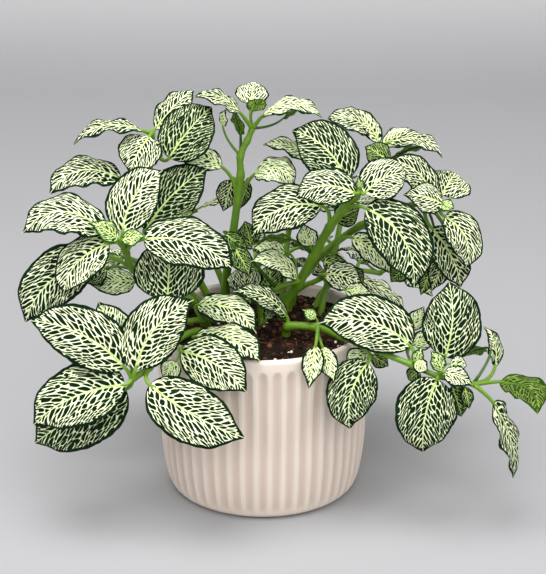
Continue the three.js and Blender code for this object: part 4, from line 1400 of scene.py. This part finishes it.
class FoliageSettings(bpy.types.PropertyGroup):
    """Sizes of the vein net and colours of leaves and stems"""
    blade_thickness: length_setting("Blade thickness", "Thickness of a leaf blade at its middle", 0.42, 1)
    vein_spacing: length_setting(
        "Side vein spacing", "Distance between side veins along the midrib of a large leaf", 3.5, 10)
    island_length: length_setting("Field length", "Length of a green field between two side veins", 4.7, 15)
    narrow_rim: length_setting("Narrow margin", "Least width of the green margin of a large leaf", 1.2, 5)
    wide_rim: length_setting(
        "Wide margin", "Greatest width of the green margin of a large leaf", 2.0, 5)
    veins: colour_setting("Veins", "Colour of the veins", "#ecf4cb")
    # Painted shade: the veins of shaded leaves inside the plant are mixed towards this colour
    painted_shade_veins: colour_setting(
        "Veins in painted shade", "Colour of the veins of leaves inside the plant", "#83a04c")
    young_veins: colour_setting("Young veins", "Colour of young veins and of the midrib's foot", "#b9d76c")
    tissue: colour_setting("Green fields", "Darkest colour between the veins", "#010d03")
    pale_tissue: colour_setting("Pale green fields", "Lightest colour between the veins", "#082a10")
    young_tissue: colour_setting("Young green fields", "Colour between the veins of young leaves", "#2a5a12")
    under_veins: colour_setting("Underside veins", "Colour of the veins underneath", "#a3c24e")
    under_tissue: colour_setting("Underside fields", "Colour between the veins underneath", "#3f6c14")
    stem: colour_setting("Stem", "Colour of the stems", "#457009")
    pale_stem: colour_setting("Stem streaks", "Colour of the pale streaks of the stems", "#86ad2e")
    # Painted shade: stems and the stalks of shaded leaves are mixed towards this colour
    painted_shade_stem: colour_setting("Stems in painted shade", "Colour of stalks inside the plant", "#244a05")


class StageSettings(bpy.types.PropertyGroup):
    """Backdrop and lights"""
    paper: colour_setting("Backdrop colour", "Colour of the floor and backdrop", "#9a9a9c")
    key_power: power_setting("Top light", "Power of the large soft light above the plant", 21)
    fill_power: power_setting("Front light", "Power of the weaker light in front", 9)
    side_power: power_setting("Side lights", "Power of each light at the sides", 6)
    sky: bpy.props.FloatProperty(
        name="Surrounding light", description="Strength of the even light of the room", default=0.8, min=0)


class PLANT_OT_stage(bpy.types.Operator):
    """Builds the pale floor and backdrop, the soft studio lights and the camera"""
    bl_idname = "nerve_plant.stage"
    bl_label = "Stage"

    def execute(self, context):
        settings = context.scene.nerve_plant_stage
        aim = Vector(AIM) * MM
        build_backdrop(settings.paper)
        add_camera(aim)
        for name, power, position, size in LIGHTS:
            lamp = bpy.data.lights.new(name, "AREA")
            lamp.energy = getattr(settings, power)
            lamp.shape = "DISK"
            lamp.size = size
            holder = bpy.data.objects.new(name, lamp)
            holder.location = position
            holder.rotation_euler = (aim - Vector(position)).to_track_quat("-Z", "Y").to_euler()
            context.scene.collection.objects.link(holder)
        light_room(settings.sky)
        context.scene.view_settings.view_transform = "Standard"
        return {"FINISHED"}


class PLANT_OT_pot(bpy.types.Operator):
    """Builds the fluted stoneware pot"""
    bl_idname = "nerve_plant.pot"
    bl_label = "Pot"

    def execute(self, context):
        build_pot(context.scene.nerve_plant_pot)
        return {"FINISHED"}


class PLANT_OT_soil(bpy.types.Operator):
    """Builds the potting soil with its crumbs, fibres and perlite"""
    bl_idname = "nerve_plant.soil"
    bl_label = "Soil"

    def execute(self, context):
        build_soil(context.scene.nerve_plant_soil, context.scene.nerve_plant_pot)
        return {"FINISHED"}


class PLANT_OT_stems(bpy.types.Operator):
    """Builds the leafy stems of the front and sides"""
    bl_idname = "nerve_plant.stems"
    bl_label = "Leafy stems"

    def execute(self, context):
        foliage = context.scene.nerve_plant_foliage
        for name, stem in STEMS.items():
            grow(name, stem["path"], stem["radii"], stem["leaves"], stem["tones"], foliage)
        return {"FINISHED"}


class PLANT_OT_back_stems(bpy.types.Operator):
    """Builds the leafy stems of the hidden side"""
    bl_idname = "nerve_plant.back_stems"
    bl_label = "Back stems"

    def execute(self, context):
        foliage = context.scene.nerve_plant_foliage
        for name, (path, heading, size, seed) in BACK_STEMS.items():
            grow(name, path, BACK_RADII, paired_leaves(path, heading, size, seed), BACK_TONES, foliage)
        return {"FINISHED"}


class PLANT_PT_panel(bpy.types.Panel):
    """Lists the pieces and their settings in the sidebar"""
    bl_idname = "PLANT_PT_panel"
    bl_label = "Nerve plant"
    bl_space_type = "VIEW_3D"
    bl_region_type = "UI"
    bl_category = "Nerve plant"

    def draw(self, context):
        for operator in OPERATORS:
            self.layout.operator(operator.bl_idname)
        for name, group in GROUPS.items():
            for key in group.__annotations__:
                self.layout.prop(getattr(context.scene, name), key)


OPERATORS = (PLANT_OT_stage, PLANT_OT_pot, PLANT_OT_soil, PLANT_OT_stems, PLANT_OT_back_stems)
GROUPS = {
    "nerve_plant_pot": PotSettings,
    "nerve_plant_soil": SoilSettings,
    "nerve_plant_foliage": FoliageSettings,
    "nerve_plant_stage": StageSettings,
}
CLASSES = (*GROUPS.values(), *OPERATORS, PLANT_PT_panel)


def register():
    """Registers the classes and hangs the settings on the scene."""
    for item in CLASSES:
        bpy.utils.register_class(item)
    for name, group in GROUPS.items():
        setattr(bpy.types.Scene, name, bpy.props.PointerProperty(type=group))


def unregister():
    """Takes the settings and the classes away again."""
    for name in GROUPS:
        delattr(bpy.types.Scene, name)
    for item in reversed(CLASSES):
        bpy.utils.unregister_class(item)


def main():
    """Builds every piece."""
    register()
    bpy.ops.nerve_plant.stage()
    bpy.ops.nerve_plant.pot()
    bpy.ops.nerve_plant.soil()
    bpy.ops.nerve_plant.stems()
    bpy.ops.nerve_plant.back_stems()


if __name__ == "__main__":
    main()
